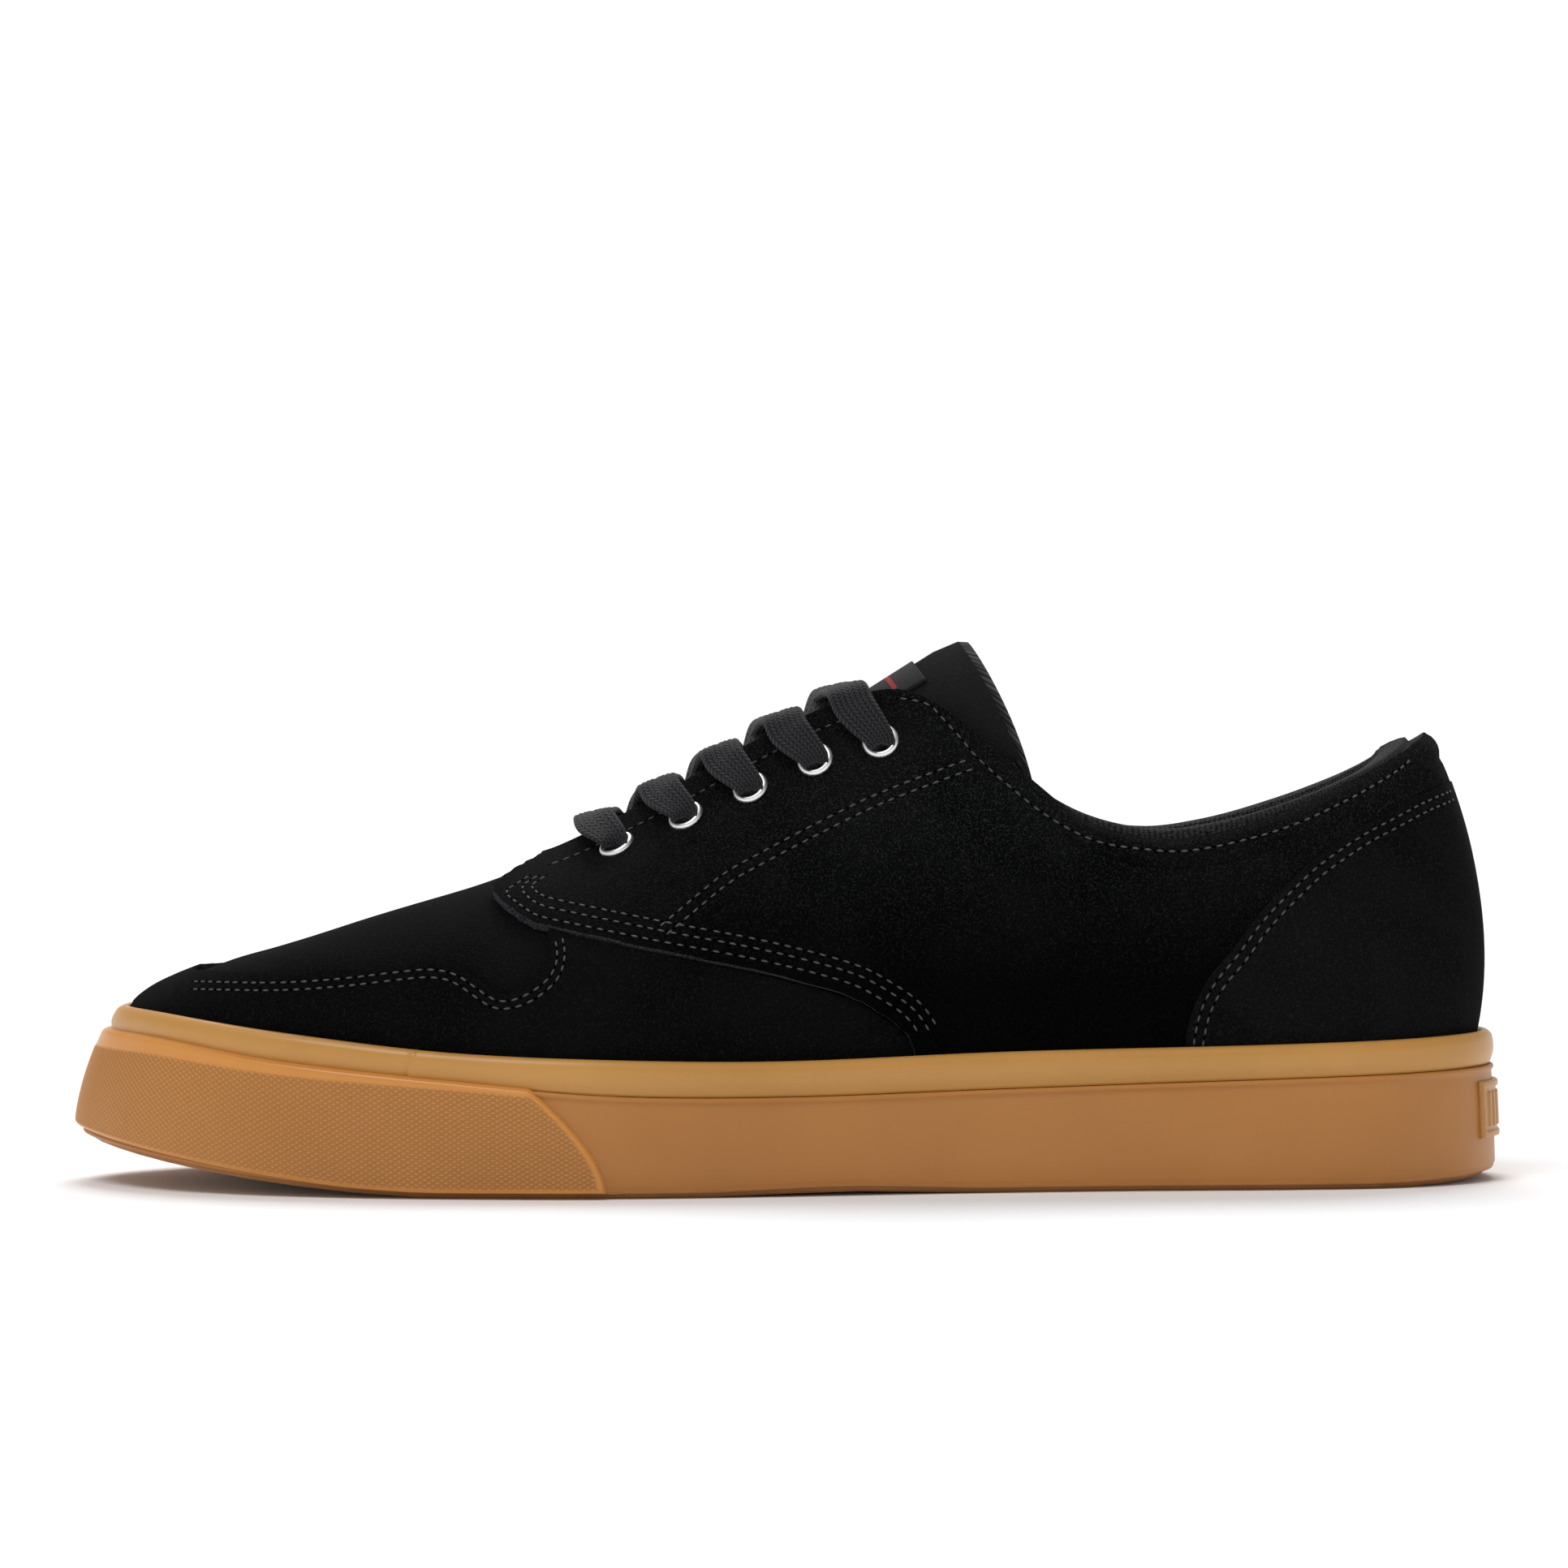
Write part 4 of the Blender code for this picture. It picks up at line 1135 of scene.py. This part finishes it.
guard_suede = suede("guard_suede", (0.0016, 0.0016, 0.0016), (0.0036, 0.0036, 0.0036), 0.7)
guard_edge = suede("guard_edge", (0.003, 0.003, 0.0035), (0.008, 0.008, 0.009))
joint = [(a, u - 0.005) for a, u in QUARTER_FRONT if u < 0.5130 and a > 0.3385]
guard = panel(
    "toe_guard_panel",
    clearance,
    guard_thickness,
    [
        (
            rounded(GUARD_TOP),
            [(a, u + 0.03) for a, u in joint] + [(0.62, 0.15), (-0.1, 0.1), (-0.1, 0.480)],
        ),
        (rounded(joint), [(0.59, 0.0), (-0.1, 0.0), (-0.1, 0.9), (joint[0][0], 0.9)]),
    ],
    (guard_suede, guard_edge),
)
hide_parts("toe_guard")

thread, tree, shader = paint("thread")
where = node(tree, "TexCoord").outputs["Object"]
twist = noise(tree, where, 900.0, 2.0)
twist = ramp(tree, twist, 0.0, (0.030, 0.031, 0.033), 1.0, (0.065, 0.067, 0.070))
fill(tree, shader, Base_Color=twist, Roughness=0.65)
# needle_hole is near-black and without gloss: painted shade in the needle holes at the stitches' ends.
needle_hole, tree, shader = paint("needle_hole")
fill(tree, shader, Base_Color=(0.001, 0.001, 0.001, 1.0), Specular_IOR_Level=0.0)


def surface_of(target):
    """What a ray meets on a finished piece, with its thickness."""
    ready = target.evaluated_get(bpy.context.evaluated_depsgraph_get())
    corners = [vert.co for vert in ready.data.vertices]
    return BVHTree.FromPolygons(corners, [tuple(face.vertices) for face in ready.data.polygons])


def stitched(name, target, rows):
    """Stitch rows on a panel, as one piece. Each row is a side and an outline in shares."""
    surface = surface_of(target)
    joined = bmesh.new()
    row_mesh = bpy.data.meshes.new("row")
    for side, outline in rows:
        bm = bmesh.new()
        curve = rounded(outline, 8)
        spots = []
        for start, end in zip(curve, curve[1:]):
            for k in range(4):
                spot = start.lerp(end, k / 4)
                seen_from = Vector((spot.x, side * 0.2, spot.z))
                hit, normal, _, _ = surface.ray_cast(seen_from, Vector((0, -side, 0)))
                if hit is not None:
                    spots.append((hit, normal))
        gone, last = stitch_pitch, None
        marks = []
        for hit, normal in spots:
            if last is not None:
                gone += (hit - last).length
            last = hit
            if gone >= stitch_pitch:
                gone -= stitch_pitch
                marks.append((hit, normal))
        for (start, normal), (end, _) in zip(marks, marks[1:]):
            run = end - start
            if run.length > 2.0 * stitch_pitch:
                continue
            across = normal.cross(run).normalized()
            seat_of = Matrix((run.normalized(), across, normal)).transposed().to_4x4()
            seat_of.translation = (start + end) / 2.0
            flat = Matrix.Diagonal((stitch_length / 2, stitch_width / 2, stitch_width / 2.4, 1.0))
            shape = seat_of @ flat
            bmesh.ops.create_uvsphere(bm, u_segments=6, v_segments=5, radius=1.0, matrix=shape)
            seat_of.translation = start
            # Near-black dimple at the start of each stitch: painted shade in its needle hole.
            dimple = seat_of @ Matrix.Diagonal((hole_width / 2, hole_width / 2.4, hole_depth, 1.0))
            made = bmesh.ops.create_uvsphere(bm, u_segments=6, v_segments=3, radius=1.0, matrix=dimple)
            for face in {face for vert in made["verts"] for face in vert.link_faces}:
                face.material_index = 1
        bm.to_mesh(row_mesh)
        bm.free()
        joined.from_mesh(row_mesh)
    bpy.data.meshes.remove(row_mesh)
    return made_piece(name, joined, thread, needle_hole)


def inset_row(outline, distance):
    """Outline moved sideways by a distance in metres, to its right as it runs."""
    points = [Vector((a * sole_length, u * instep_height)) for a, u in outline]
    moved = []
    for i, point in enumerate(points):
        run = points[min(i + 1, len(points) - 1)] - points[max(i - 1, 0)]
        square = Vector((run.y, -run.x)).normalized()
        shifted = point + square * distance
        moved.append((shifted.x / sole_length, shifted.y / instep_height))
    return moved


def both_sides(outline, distances):
    """Rows beside an outline on both sides of the shoe, each at its distance."""
    return [(side, inset_row(outline, distance)) for side in (OUTER, INNER) for distance in distances]


stitched("guard_stitches", guard, both_sides(GUARD_TOP[2:], (0.0012, 0.0027)))

# Heel counter: a stiff cup of suede round the heel, sewn over both quarters with two rows.
# Its foot is glued in under the foxing tape with the other panels.
COUNTER_FRONT = (
    (0.7736, 0.150),
    (0.7736, 0.284),
    (0.7784, 0.355),
    (0.7895, 0.420),
    (0.8044, 0.4716),
    (0.8233, 0.544),
    (0.8436, 0.603),
    (0.8645, 0.656),
    (0.8953, 0.7127),
    (0.9179, 0.745),
    (0.9446, 0.781),
    (0.9696, 0.806),
    (1.060, 0.870),
)
counter_suede = suede("counter_suede", (0.0024, 0.0024, 0.0025), (0.0060, 0.0060, 0.0061))
counter_edge = suede("counter_edge", (0.003, 0.003, 0.0035), (0.009, 0.010, 0.011), 1.4)
counter = panel(
    "counter_panel",
    quarter_thickness - clearance,
    counter_thickness - quarter_thickness + clearance,
    [(rounded(COUNTER_FRONT), [(1.2, 0.87), (1.2, 0.150)])],
    (counter_suede, counter_edge),
)
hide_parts("heel_counter")
counter_rows = both_sides(COUNTER_FRONT[1:-1], (0.0016, 0.0035))
stitched("counter_stitches", counter, counter_rows)

# Quarters: a suede panel on each side, from the throat to the heel, which carries the eyelets.
# Its front edge is thick and brushed, with three rows of stitches that also hold the eyestay.
# The quarter's suede runs from half its tone low down to three times its tone at the collar: painted shade
# on the lower side and painted light from above.
quarter_suede = suede(
    "quarter_suede", (0.0004, 0.0005, 0.0005), (0.0016, 0.0017, 0.0017), 0.55, foot=0.5, head=3.0
)
quarter_edge = suede("quarter_edge", (0.006, 0.0066, 0.0076), (0.022, 0.0235, 0.026), 7.0)
FRONT_ROWS = (0.0027, 0.0048, 0.0066)
eyestay_gap = 0.0021
throat_inset = 0.0030
EYESTAY_ROW = (
    (0.4141, 0.5267),
    (0.4234, 0.5486),
    (0.4371, 0.5816),
    (0.4598, 0.6338),
    (0.4826, 0.6704),
    (0.5076, 0.7087),
    (0.5506, 0.7710),
    (0.5752, 0.8014),
    (0.5986, 0.8270),
    (0.6200, 0.8494),
    (0.6318, 0.8606),
)
COLLAR_ROW = (
    (0.5788, 0.9804),
    (0.5994, 0.9685),
    (0.6099, 0.9373),
    (0.6203, 0.9045),
    (0.6301, 0.8687),
    (0.6433, 0.8313),
    (0.6570, 0.7971),
    (0.6752, 0.7534),
    (0.6978, 0.7128),
    (0.7188, 0.6884),
    (0.7453, 0.6768),
    (0.7704, 0.6717),
    (0.7980, 0.6825),
    (0.8315, 0.7060),
    (0.8574, 0.7314),
    (0.8862, 0.7682),
    (0.9084, 0.8004),
    (0.9290, 0.8345),
    (0.9415, 0.8625),
)


def front_row(distance):
    """Outline of a stitch row at a distance behind the quarter's front edge, round its tip."""
    tip = [(a + 0.9 * distance / sole_length, u) for a, u in QUARTER_FRONT[2:4]]
    return tip + inset_row(QUARTER_FRONT[5:-1], -distance)[1 if distance > 0.003 else 0 :]


def throat_row(side):
    """Outline of the row that follows the throat's edge, between the laces."""
    row = []
    for i in range(16):
        around = join(side, 0.372 + 0.210 * i / 15)
        point = upper_surface(around, down_from_edge(around, throat_inset))
        row.append((point.x / sole_length + 0.5, point.z / instep_height))
    return row


quarter_trims = [
    (
        frayed(rounded(QUARTER_FRONT), 0.00010, 0.7),
        [(0.80, 0.150), (0.80, 0.30), (0.86, 0.60), (0.95, 0.74), (1.06, 0.80), (1.06, 1.6), (0.331, 1.6)],
    )
]
for side, word in ((OUTER, "outer"), (INNER, "inner")):
    quarter = panel(
        f"quarter_panel_{word}",
        clearance,
        quarter_thickness,
        quarter_trims,
        (quarter_suede, quarter_edge),
        holes=side,
        keep=side,
        edge_radius=0.0007,
    )
    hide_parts(f"quarter_{word}")
    rows = [(side, front_row(distance)) for distance in FRONT_ROWS]
    rows += [(side, EYESTAY_ROW), (side, inset_row(EYESTAY_ROW, eyestay_gap))]
    rows += [(side, COLLAR_ROW), (side, throat_row(side))]
    stitched(f"quarter_stitches_{word}", quarter, rows)

# Collar pad: foam under a knitted cloth, rolled over the inside of the collar. A little of the
# knit shows above the suede's edge.
pad_thickness = 0.0085
pad_depth = 0.036
pad_rise = 0.0022
pad_front = 20 / 30
PAD_SECTION = (
    (1.00, 0.06, 0.0),
    (0.85, 0.40, 0.0),
    (0.66, 0.72, 0.0),
    (0.48, 0.93, 0.0),
    (0.33, 1.00, 0.0),
    (0.18, 0.98, 0.1),
    (0.06, 0.88, 0.45),
    (0.0, 0.70, 0.82),
    (0.0, 0.45, 1.02),
    (0.0, 0.20, 0.92),
    (0.0, 0.05, 0.60),
    (0.02, 0.0, 0.0),
    (0.33, 0.0, 0.0),
    (0.66, 0.0, 0.0),
    (1.00, 0.0, 0.0),
)
pad_columns = 150


def pad_point(a, b):
    """Point of the pad: a along the collar, b round its section from the inside over the top."""
    around_front = join(OUTER, pad_front)
    around = around_front + (1.0 - 2.0 * around_front) * a
    at = b * (len(PAD_SECTION) - 1)
    i = min(int(at), len(PAD_SECTION) - 2)
    share, depth, rise = (
        PAD_SECTION[i][k] + (PAD_SECTION[i + 1][k] - PAD_SECTION[i][k]) * (at - i) for k in range(3)
    )
    end = min(1.0, 6.0 * min(a, 1.0 - a) + 0.25)
    level = 3.0 + (down_from_edge(around, pad_depth) - 3.0) * share
    inward = wall_thickness + 2 * clearance + depth * pad_thickness * end
    up = (upper_surface(around, 3.0) - upper_surface(around, 2.96)).normalized()
    lift = pad_rise * (1.0 - 0.6 * math.sin(math.pi * a))
    return upper_surface(around, level) - upper_normal(around, level) * inward + up * rise * lift * end


knit = cloth("knit", (0.002, 0.002, 0.002), (0.058, 0.055, 0.058), 0.0014, 0.0012, 0.0009)


def sized_uv(bm, wide, tall):
    """Turns a sheet's UV map from shares into metres."""
    layer = bm.loops.layers.uv.verify()
    for face in bm.faces:
        for loop in face.loops:
            loop[layer].uv.x *= wide
            loop[layer].uv.y *= tall


bm = bmesh.new()
sheet(bm, pad_columns, 3 * (len(PAD_SECTION) - 1), pad_point)
sized_uv(bm, 0.28, 0.09)
bmesh.ops.holes_fill(bm, edges=[item for item in bm.edges if item.is_boundary])
bmesh.ops.recalc_face_normals(bm, faces=bm.faces)
pad = made_piece("collar_roll", bm, knit)
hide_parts("collar_pad")

# Insole: a cloth-covered foam bed that lies loose on the floor of the cup.
# It can be taken out, and the foot stands on it.
insole_thickness = 0.0040


def insole_point(height):
    """Face of the insole at a height over the floor of the cup."""

    def point(a, b):
        share = 0.012 + 0.976 * b
        sides = []
        for side in (OUTER, INNER):
            around = join(side, share)
            x = edge(around).x
            inset = seat(share) + wall_thickness + 2.0 * clearance + (0.0006 if height < 0.001 else 0.0)
            sides.append(side_point(around, floor(x), inset))
        spot = sides[0].lerp(sides[1], a)
        rim = (2.0 * abs(a - 0.5)) ** 6
        spot.z = floor(spot.x) + height + (0.0015 * rim if height > 0.001 else 0.0)
        return spot

    return point


bed_cloth = cloth("bed_cloth", (0.010, 0.010, 0.010), (0.030, 0.030, 0.031), 0.0009, 0.0009, 0.0002)
bm = bmesh.new()
slab(bm, 24, 80, insole_point(insole_thickness * 0.9), insole_point(clearance))
sized_uv(bm, 0.09, 0.28)
bed = made_piece("foot_bed", bm, bed_cloth)
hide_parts("insole")

# Tongue: padded suede over knit, sewn down under the vamp at its root and free above.
# Foam between the two faces makes it swell.
tongue_top_thickness = 0.0085
tongue_root_thickness = 0.0032

TONGUE = Chart(
    ("share", "along", "up", "half", "drop"),
    (
        (0.00, 0.304, 0.568, 0.150, 0.060),
        (0.20, 0.372, 0.646, 0.176, 0.120),
        (0.45, 0.453, 0.795, 0.210, 0.175),
        (0.70, 0.530, 0.940, 0.228, 0.220),
        (0.88, 0.588, 1.046, 0.233, 0.248),
        (1.00, 0.6265, 1.116, 0.226, 0.272),
    ),
)


def tongue_point(across, share, out):
    """Point of the tongue: across runs from -1 (outer edge) to 1, share from root to top edge."""

    def centre(at):
        along, up = TONGUE.read("along", at), TONGUE.read("up", at)
        return Vector(((along - 0.5) * sole_length, crest_y(along), up * instep_height))

    slope = (centre(min(share + 0.05, 1.0)) - centre(max(share - 0.05, 0.0))).normalized()
    down = Vector((slope.z, 0.0, -slope.x)).normalized()
    turn = across * math.pi / 2.0
    half = TONGUE.read("half", share) * ball_width
    drop = TONGUE.read("drop", share) * ball_width
    normal = (down * (-math.cos(turn) * half) + Vector((0, math.sin(turn) * drop, 0))).normalized()
    point = centre(share) + Vector((0, math.sin(turn) * half, 0)) + down * (1.0 - math.cos(turn)) * drop
    return point + normal * out


tongue_corner = 0.032


def tongue_front(a, b):
    """Suede face of the tongue, with a flat sewn rim and a padded middle."""
    from_side = min(a, 1.0 - a)
    puff = 0.0009 * min(from_side / 0.12, (1.0 - b) / 0.05, 1.0)
    across = 2.0 * a - 1.0
    b *= 0.985
    return tongue_point(across, b - tongue_corner * b**6 * abs(across) ** 3, puff - 0.0009)


def tongue_back(a, b):
    """Knit face of the tongue, which swells beyond its suede."""
    thick = tongue_root_thickness + (tongue_top_thickness - tongue_root_thickness) * b**1.5
    thick *= 0.35 + 0.65 * math.sin(math.pi * a) ** 0.5
    thick *= math.sqrt(max(1.0 - max((b - 0.90) / 0.10, 0.0) ** 2, 0.02))
    across = (2.0 * a - 1.0) * (1.04 + 0.07 * b**8)
    return tongue_point(across, b - tongue_corner * b**6 * abs(across) ** 3, -thick - 0.0009)


# The tongue's suede is several times lighter than the rest of the suede: painted light from above on its
# upturned face.
tongue_suede = suede("tongue_suede", (0.0100, 0.0096, 0.0100), (0.0170, 0.0162, 0.0168), 1.5)
bm = bmesh.new()
sheet(bm, 48, 80, tongue_front)
before = set(bm.faces)
sheet(bm, 48, 80, tongue_back)
bmesh.ops.bridge_loops(bm, edges=[item for item in bm.edges if item.is_boundary])
for face in bm.faces:
    if face not in before:
        face.material_index = 1
sized_uv(bm, 0.06, 0.11)
bmesh.ops.recalc_face_normals(bm, faces=bm.faces)
tongue = made_piece("padded_tongue", bm, tongue_suede, knit)
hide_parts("tongue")

# Tongue label: a small woven patch, bare apart from a thin red line, sewn on near the top.
# It follows the swell of the tongue.
label_thickness = 0.0008
label_width = 0.030
label_height = 0.0115
label_cloth = cloth("label_cloth", (0.006, 0.006, 0.006), (0.018, 0.018, 0.019), 0.0004, 0.0004, 0.0001)
label_red = cloth("label_red", (0.22, 0.010, 0.010), (0.42, 0.020, 0.020), 0.0004, 0.0004, 0.0001)
label_half = label_width / 2.0 / (TONGUE.read("half", 0.9) * ball_width) * 0.64
tongue_half = (tongue_point(0, 1.0, 0.0) - tongue_point(0, 0.5, 0.0)).length * 2.0
label_top = 0.893
label_start = label_top - label_height / tongue_half


def label_point(out):
    """Face of the label at a distance from the tongue."""
    tall = label_top - label_start
    return lambda a, b: tongue_point(label_half * (2.0 * a - 1.0), label_start + tall * b, out)


bm = bmesh.new()
slab(bm, 40, 24, label_point(label_thickness), label_point(-clearance))
layer = bm.loops.layers.uv.verify()
for face in bm.faces:
    middle = sum((loop[layer].uv for loop in face.loops), Vector((0.0, 0.0))) / len(face.loops)
    if 0.42 < middle.y < 0.50 and 0.1 < middle.x < 0.9:
        face.material_index = 1
sized_uv(bm, label_width, label_height)
label = made_piece("woven_label", bm, label_cloth, label_red)
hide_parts("tongue_label")

# Eyelets: rolled aluminium rings, pressed through the quarters and flared on the inside.
# Each one clamps the quarter's layers together and carries one turn of the lace.
eyelet_height = 0.0008
RING = (
    (0.00240, -0.0034),
    (0.00240, 0.0002),
    (0.00255, 0.0007),
    (0.00285, 0.00098),
    (0.00320, 0.00100),
    (0.00355, 0.00082),
    (0.00376, 0.00052),
    (0.00382, 0.00018),
    (0.00378, 0.00002),
    (0.00280, 0.00002),
    (0.00280, -0.0034),
    (0.00300, -0.0037),
    (0.00280, -0.0040),
    (0.00250, -0.0038),
)
eyelet_metal, tree, shader = paint("eyelet_metal")
wear = noise(tree, node(tree, "TexCoord").outputs["Object"], 500.0, 3.0)
wear = node(tree, "MapRange", Value=wear, To_Min=0.30, To_Max=0.46).outputs["Result"]
fill(tree, shader, Base_Color=(0.86, 0.85, 0.84, 1.0), Metallic=1.0, Roughness=wear)

for side, word in ((OUTER, "outer"), (INNER, "inner")):
    for number in range(eyelets_a_side):
        seat_point, normal = on_wall(*eyelet_seat(side, number), clearance + quarter_thickness)
        bm = bmesh.new()
        verts = [bm.verts.new((radius, 0.0, height)) for radius, height in RING]
        edges = [bm.edges.new(pair) for pair in zip(verts, verts[1:] + verts[:1])]
        whole = {"cent": (0, 0, 0), "axis": (0, 0, 1), "angle": 2.0 * math.pi, "steps": 32}
        bmesh.ops.spin(bm, geom=verts + edges, use_merge=True, **whole)
        bmesh.ops.recalc_face_normals(bm, faces=bm.faces)
        turn = normal.to_track_quat("Z", "Y").to_matrix().to_4x4()
        bmesh.ops.transform(bm, matrix=Matrix.Translation(seat_point) @ turn, verts=bm.verts)
        ring = made_piece(f"ring_{word}_{number + 1}", bm, eyelet_metal)
        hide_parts(f"eyelet_{word}_{number + 1}")

# Lace: one flat braided tape. It lies straight over the lowest eyelets, goes down through them,
# comes up under each eyestay's edge and crosses to the next eyelet of the other side.
lace_width = 0.0085
lace_thickness = 0.0016
lace_ribs = 8
lace_rib_rise = 0.00026
lace_steps = 90
strand_pitch = 0.0011


def over_eyelet(side, number):
    """Place of the lace on top of an eyelet."""
    out = clearance + quarter_thickness + eyelet_height + lace_thickness / 2 + 0.0006
    return on_wall(*eyelet_seat(side, number), out)


def into_eyelet(side, number, deep):
    """Place of the lace within an eyelet, at a depth under its top."""
    around, level = eyelet_seat(side, number)
    point, normal = on_wall(around, level, clearance + quarter_thickness - deep)
    down = (upper_surface(around, level - 0.02) - upper_surface(around, level)).normalized()
    return point, (normal * 0.3 + down).normalized()


def over_edge(side, number, down, lift):
    """Place of the lace above the eyestay, some way down from the throat's edge. At the edge itself
    the lace bends over it, facing half upwards."""
    around = eyelet_seat(side, number)[0]
    point, normal = on_wall(around, down_from_edge(around, down), clearance + quarter_thickness)
    if down == 0.0:
        normal = (normal + Vector((0.0, 0.0, 1.0))).normalized()
    return point + normal * (clearance + lace_thickness / 2 + lift), normal


def under_edge(side, number, down):
    """Place of the lace below the eyestay, some way down from the throat's edge."""
    around = eyelet_seat(side, number)[0]
    deep = wall_thickness + 5 * clearance + lace_thickness / 2
    return on_wall(around, down_from_edge(around, down), -deep)


def over_throat(number, lift):
    """Place of the lace midway over the throat, between the two eyestays."""
    outer = over_edge(OUTER, number, 0.0, lift)
    inner = over_edge(INNER, number, 0.0, lift)
    return (outer[0] + inner[0]) / 2, (outer[1] + inner[1]).normalized()


def rib_place(a):
    """Place across the lace, from -1 to 1, for a share of the way round its section."""
    across = math.cos(2.0 * math.pi * a)
    return math.copysign(abs(across) ** 0.75, across)


def lace_run(bm, stops):
    """Stretch of lace through stops of (place, facing, width share), as a ribbed, rounded tape."""

    def blend(values, t):
        at = t * (len(values) - 1)
        i = min(int(at), len(values) - 2)
        return between(values, i, at - i)

    points = [stop[0][0] for stop in stops]
    facings = [stop[0][1] for stop in stops]
    widths = [stop[1] for stop in stops]

    def place(a, b):
        point = blend(points, b)
        run = (blend(points, min(b + 0.01, 1.0)) - blend(points, max(b - 0.01, 0.0))).normalized()
        wide = run.cross(blend(facings, b)).normalized()
        high = wide.cross(run)
        share = blend(widths, b)
        across = rib_place(a)
        up = math.sin(2.0 * math.pi * a)
        rib = lace_rib_rise * abs(math.sin(math.pi * lace_ribs * (across + 1.0) / 2.0))
        thick = lace_thickness / 2 * (1.12 + 0.9 * (1.0 - share))
        depth = math.copysign(abs(up) ** 0.55, up) * (thick + rib - 0.00008)
        curl = (1.0 - share) * lace_width * 0.45 * (across * across - 0.4)
        return point + wide * across * share * lace_width / 2 + high * (depth + curl)

    marks = sheet(bm, 4 * lace_ribs * 2, lace_steps, place)
    layer = bm.loops.layers.uv.verify()
    length = sum((blend(points, (i + 1) / 60) - blend(points, i / 60)).length for i in range(60))
    for face in {face for vert in marks for face in vert.link_faces}:
        for loop in face.loops:
            a, b = marks[loop.vert]
            loop[layer].uv = ((1.0 + rib_place(a)) / 2.0 * lace_width, b * length)
    bmesh.ops.remove_doubles(bm, verts=list(marks), dist=0.00001)


def maths(tree, operation, first, second):
    """Result of a sum in a material."""
    return node(tree, "Math", set_operation=operation, in0=first, in1=second).outputs[0]


def braid(name):
    """Braided cotton: lengthwise ribs of slanting strands, a little fluffy. The strands are painted darker
    where they meet and beside each rib, as painted shade.
    """
    made, tree, shader = paint(name)
    where = node(tree, "TexCoord").outputs["UV"]
    parts = node(tree, "SeparateXYZ", Vector=where)
    rib = maths(tree, "MULTIPLY", parts.outputs["X"], lace_ribs / lace_width)
    lean = maths(tree, "MULTIPLY", maths(tree, "PINGPONG", rib, 1.0), 1.1)
    count = maths(tree, "MULTIPLY", parts.outputs["Y"], 1.0 / strand_pitch)
    strand = maths(tree, "PINGPONG", maths(tree, "ADD", count, lean), 0.5)
    # Darker where the strands meet: painted shade.
    tone = ramp(tree, strand, 0.05, (0.004, 0.004, 0.0045), 0.35, (0.030, 0.028, 0.033))
    # Darker beside each rib: painted shade between the ribs.
    beside = maths(tree, "PINGPONG", rib, 0.5)
    gap = node(tree, "MapRange", Value=beside, From_Max=0.34, To_Min=0.10).outputs["Result"]
    fill(
        tree,
        shader,
        Base_Color=scaled(tree, tone, gap),
        Normal=bumped(tree, strand, 0.7, 0.0004),
        Roughness=0.85,
        Specular_IOR_Level=0.2,
        Sheen_Weight=0.12,
        Sheen_Roughness=0.5,
    )
    return made


lace_braid = braid("lace_braid")


def lace_piece(name, runs, *nodes):
    """Stretches of lace as one piece, with their ends closed."""
    bm = bmesh.new()
    for stops in runs:
        lace_run(bm, stops)
    bmesh.ops.holes_fill(bm, edges=[item for item in bm.edges if item.is_boundary])
    bmesh.ops.recalc_face_normals(bm, faces=bm.faces)
    made = made_piece(name, bm, lace_braid)
    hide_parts(*nodes)


def down_end(side, number, edge_lift):
    """Stops from the throat's edge down into an eyelet."""
    return [
        (over_edge(side, number - 0.36, 0.0, edge_lift), 1.0),
        (over_edge(side, number - 0.20, 0.0050, 0.0026), 1.0),
        (over_eyelet(side, number), 0.72),
        (into_eyelet(side, number, 0.0006), 0.55),
        (into_eyelet(side, number, 0.0036), 0.48),
    ]


bar_stops = list(reversed(down_end(OUTER, 0, 0.0016))) + [(over_throat(-0.36, 0.0016), 1.0)]
bar_stops += down_end(INNER, 0, 0.0016)
lace_piece("lace_bottom", [bar_stops], "lace_bar")
for number in range(eyelets_a_side - 1):
    runs = []
    for side in (OUTER, INNER):
        apart = 0.0012 if side == OUTER else -0.0006
        stops = [
            (into_eyelet(side, number, 0.0050), 0.48),
            (under_edge(side, number, 0.0070), 0.85),
            (under_edge(side, number, 0.0005), 1.0),
            (over_throat(number + 0.42, 0.001 * (number - 2) + apart), 1.0),
        ]
        stops += down_end(-side, number + 1, 0.0014)
        runs.append(stops)
    lace_piece(f"lace_pair_{number + 1}", runs, f"lace_cross_{number + 1}")
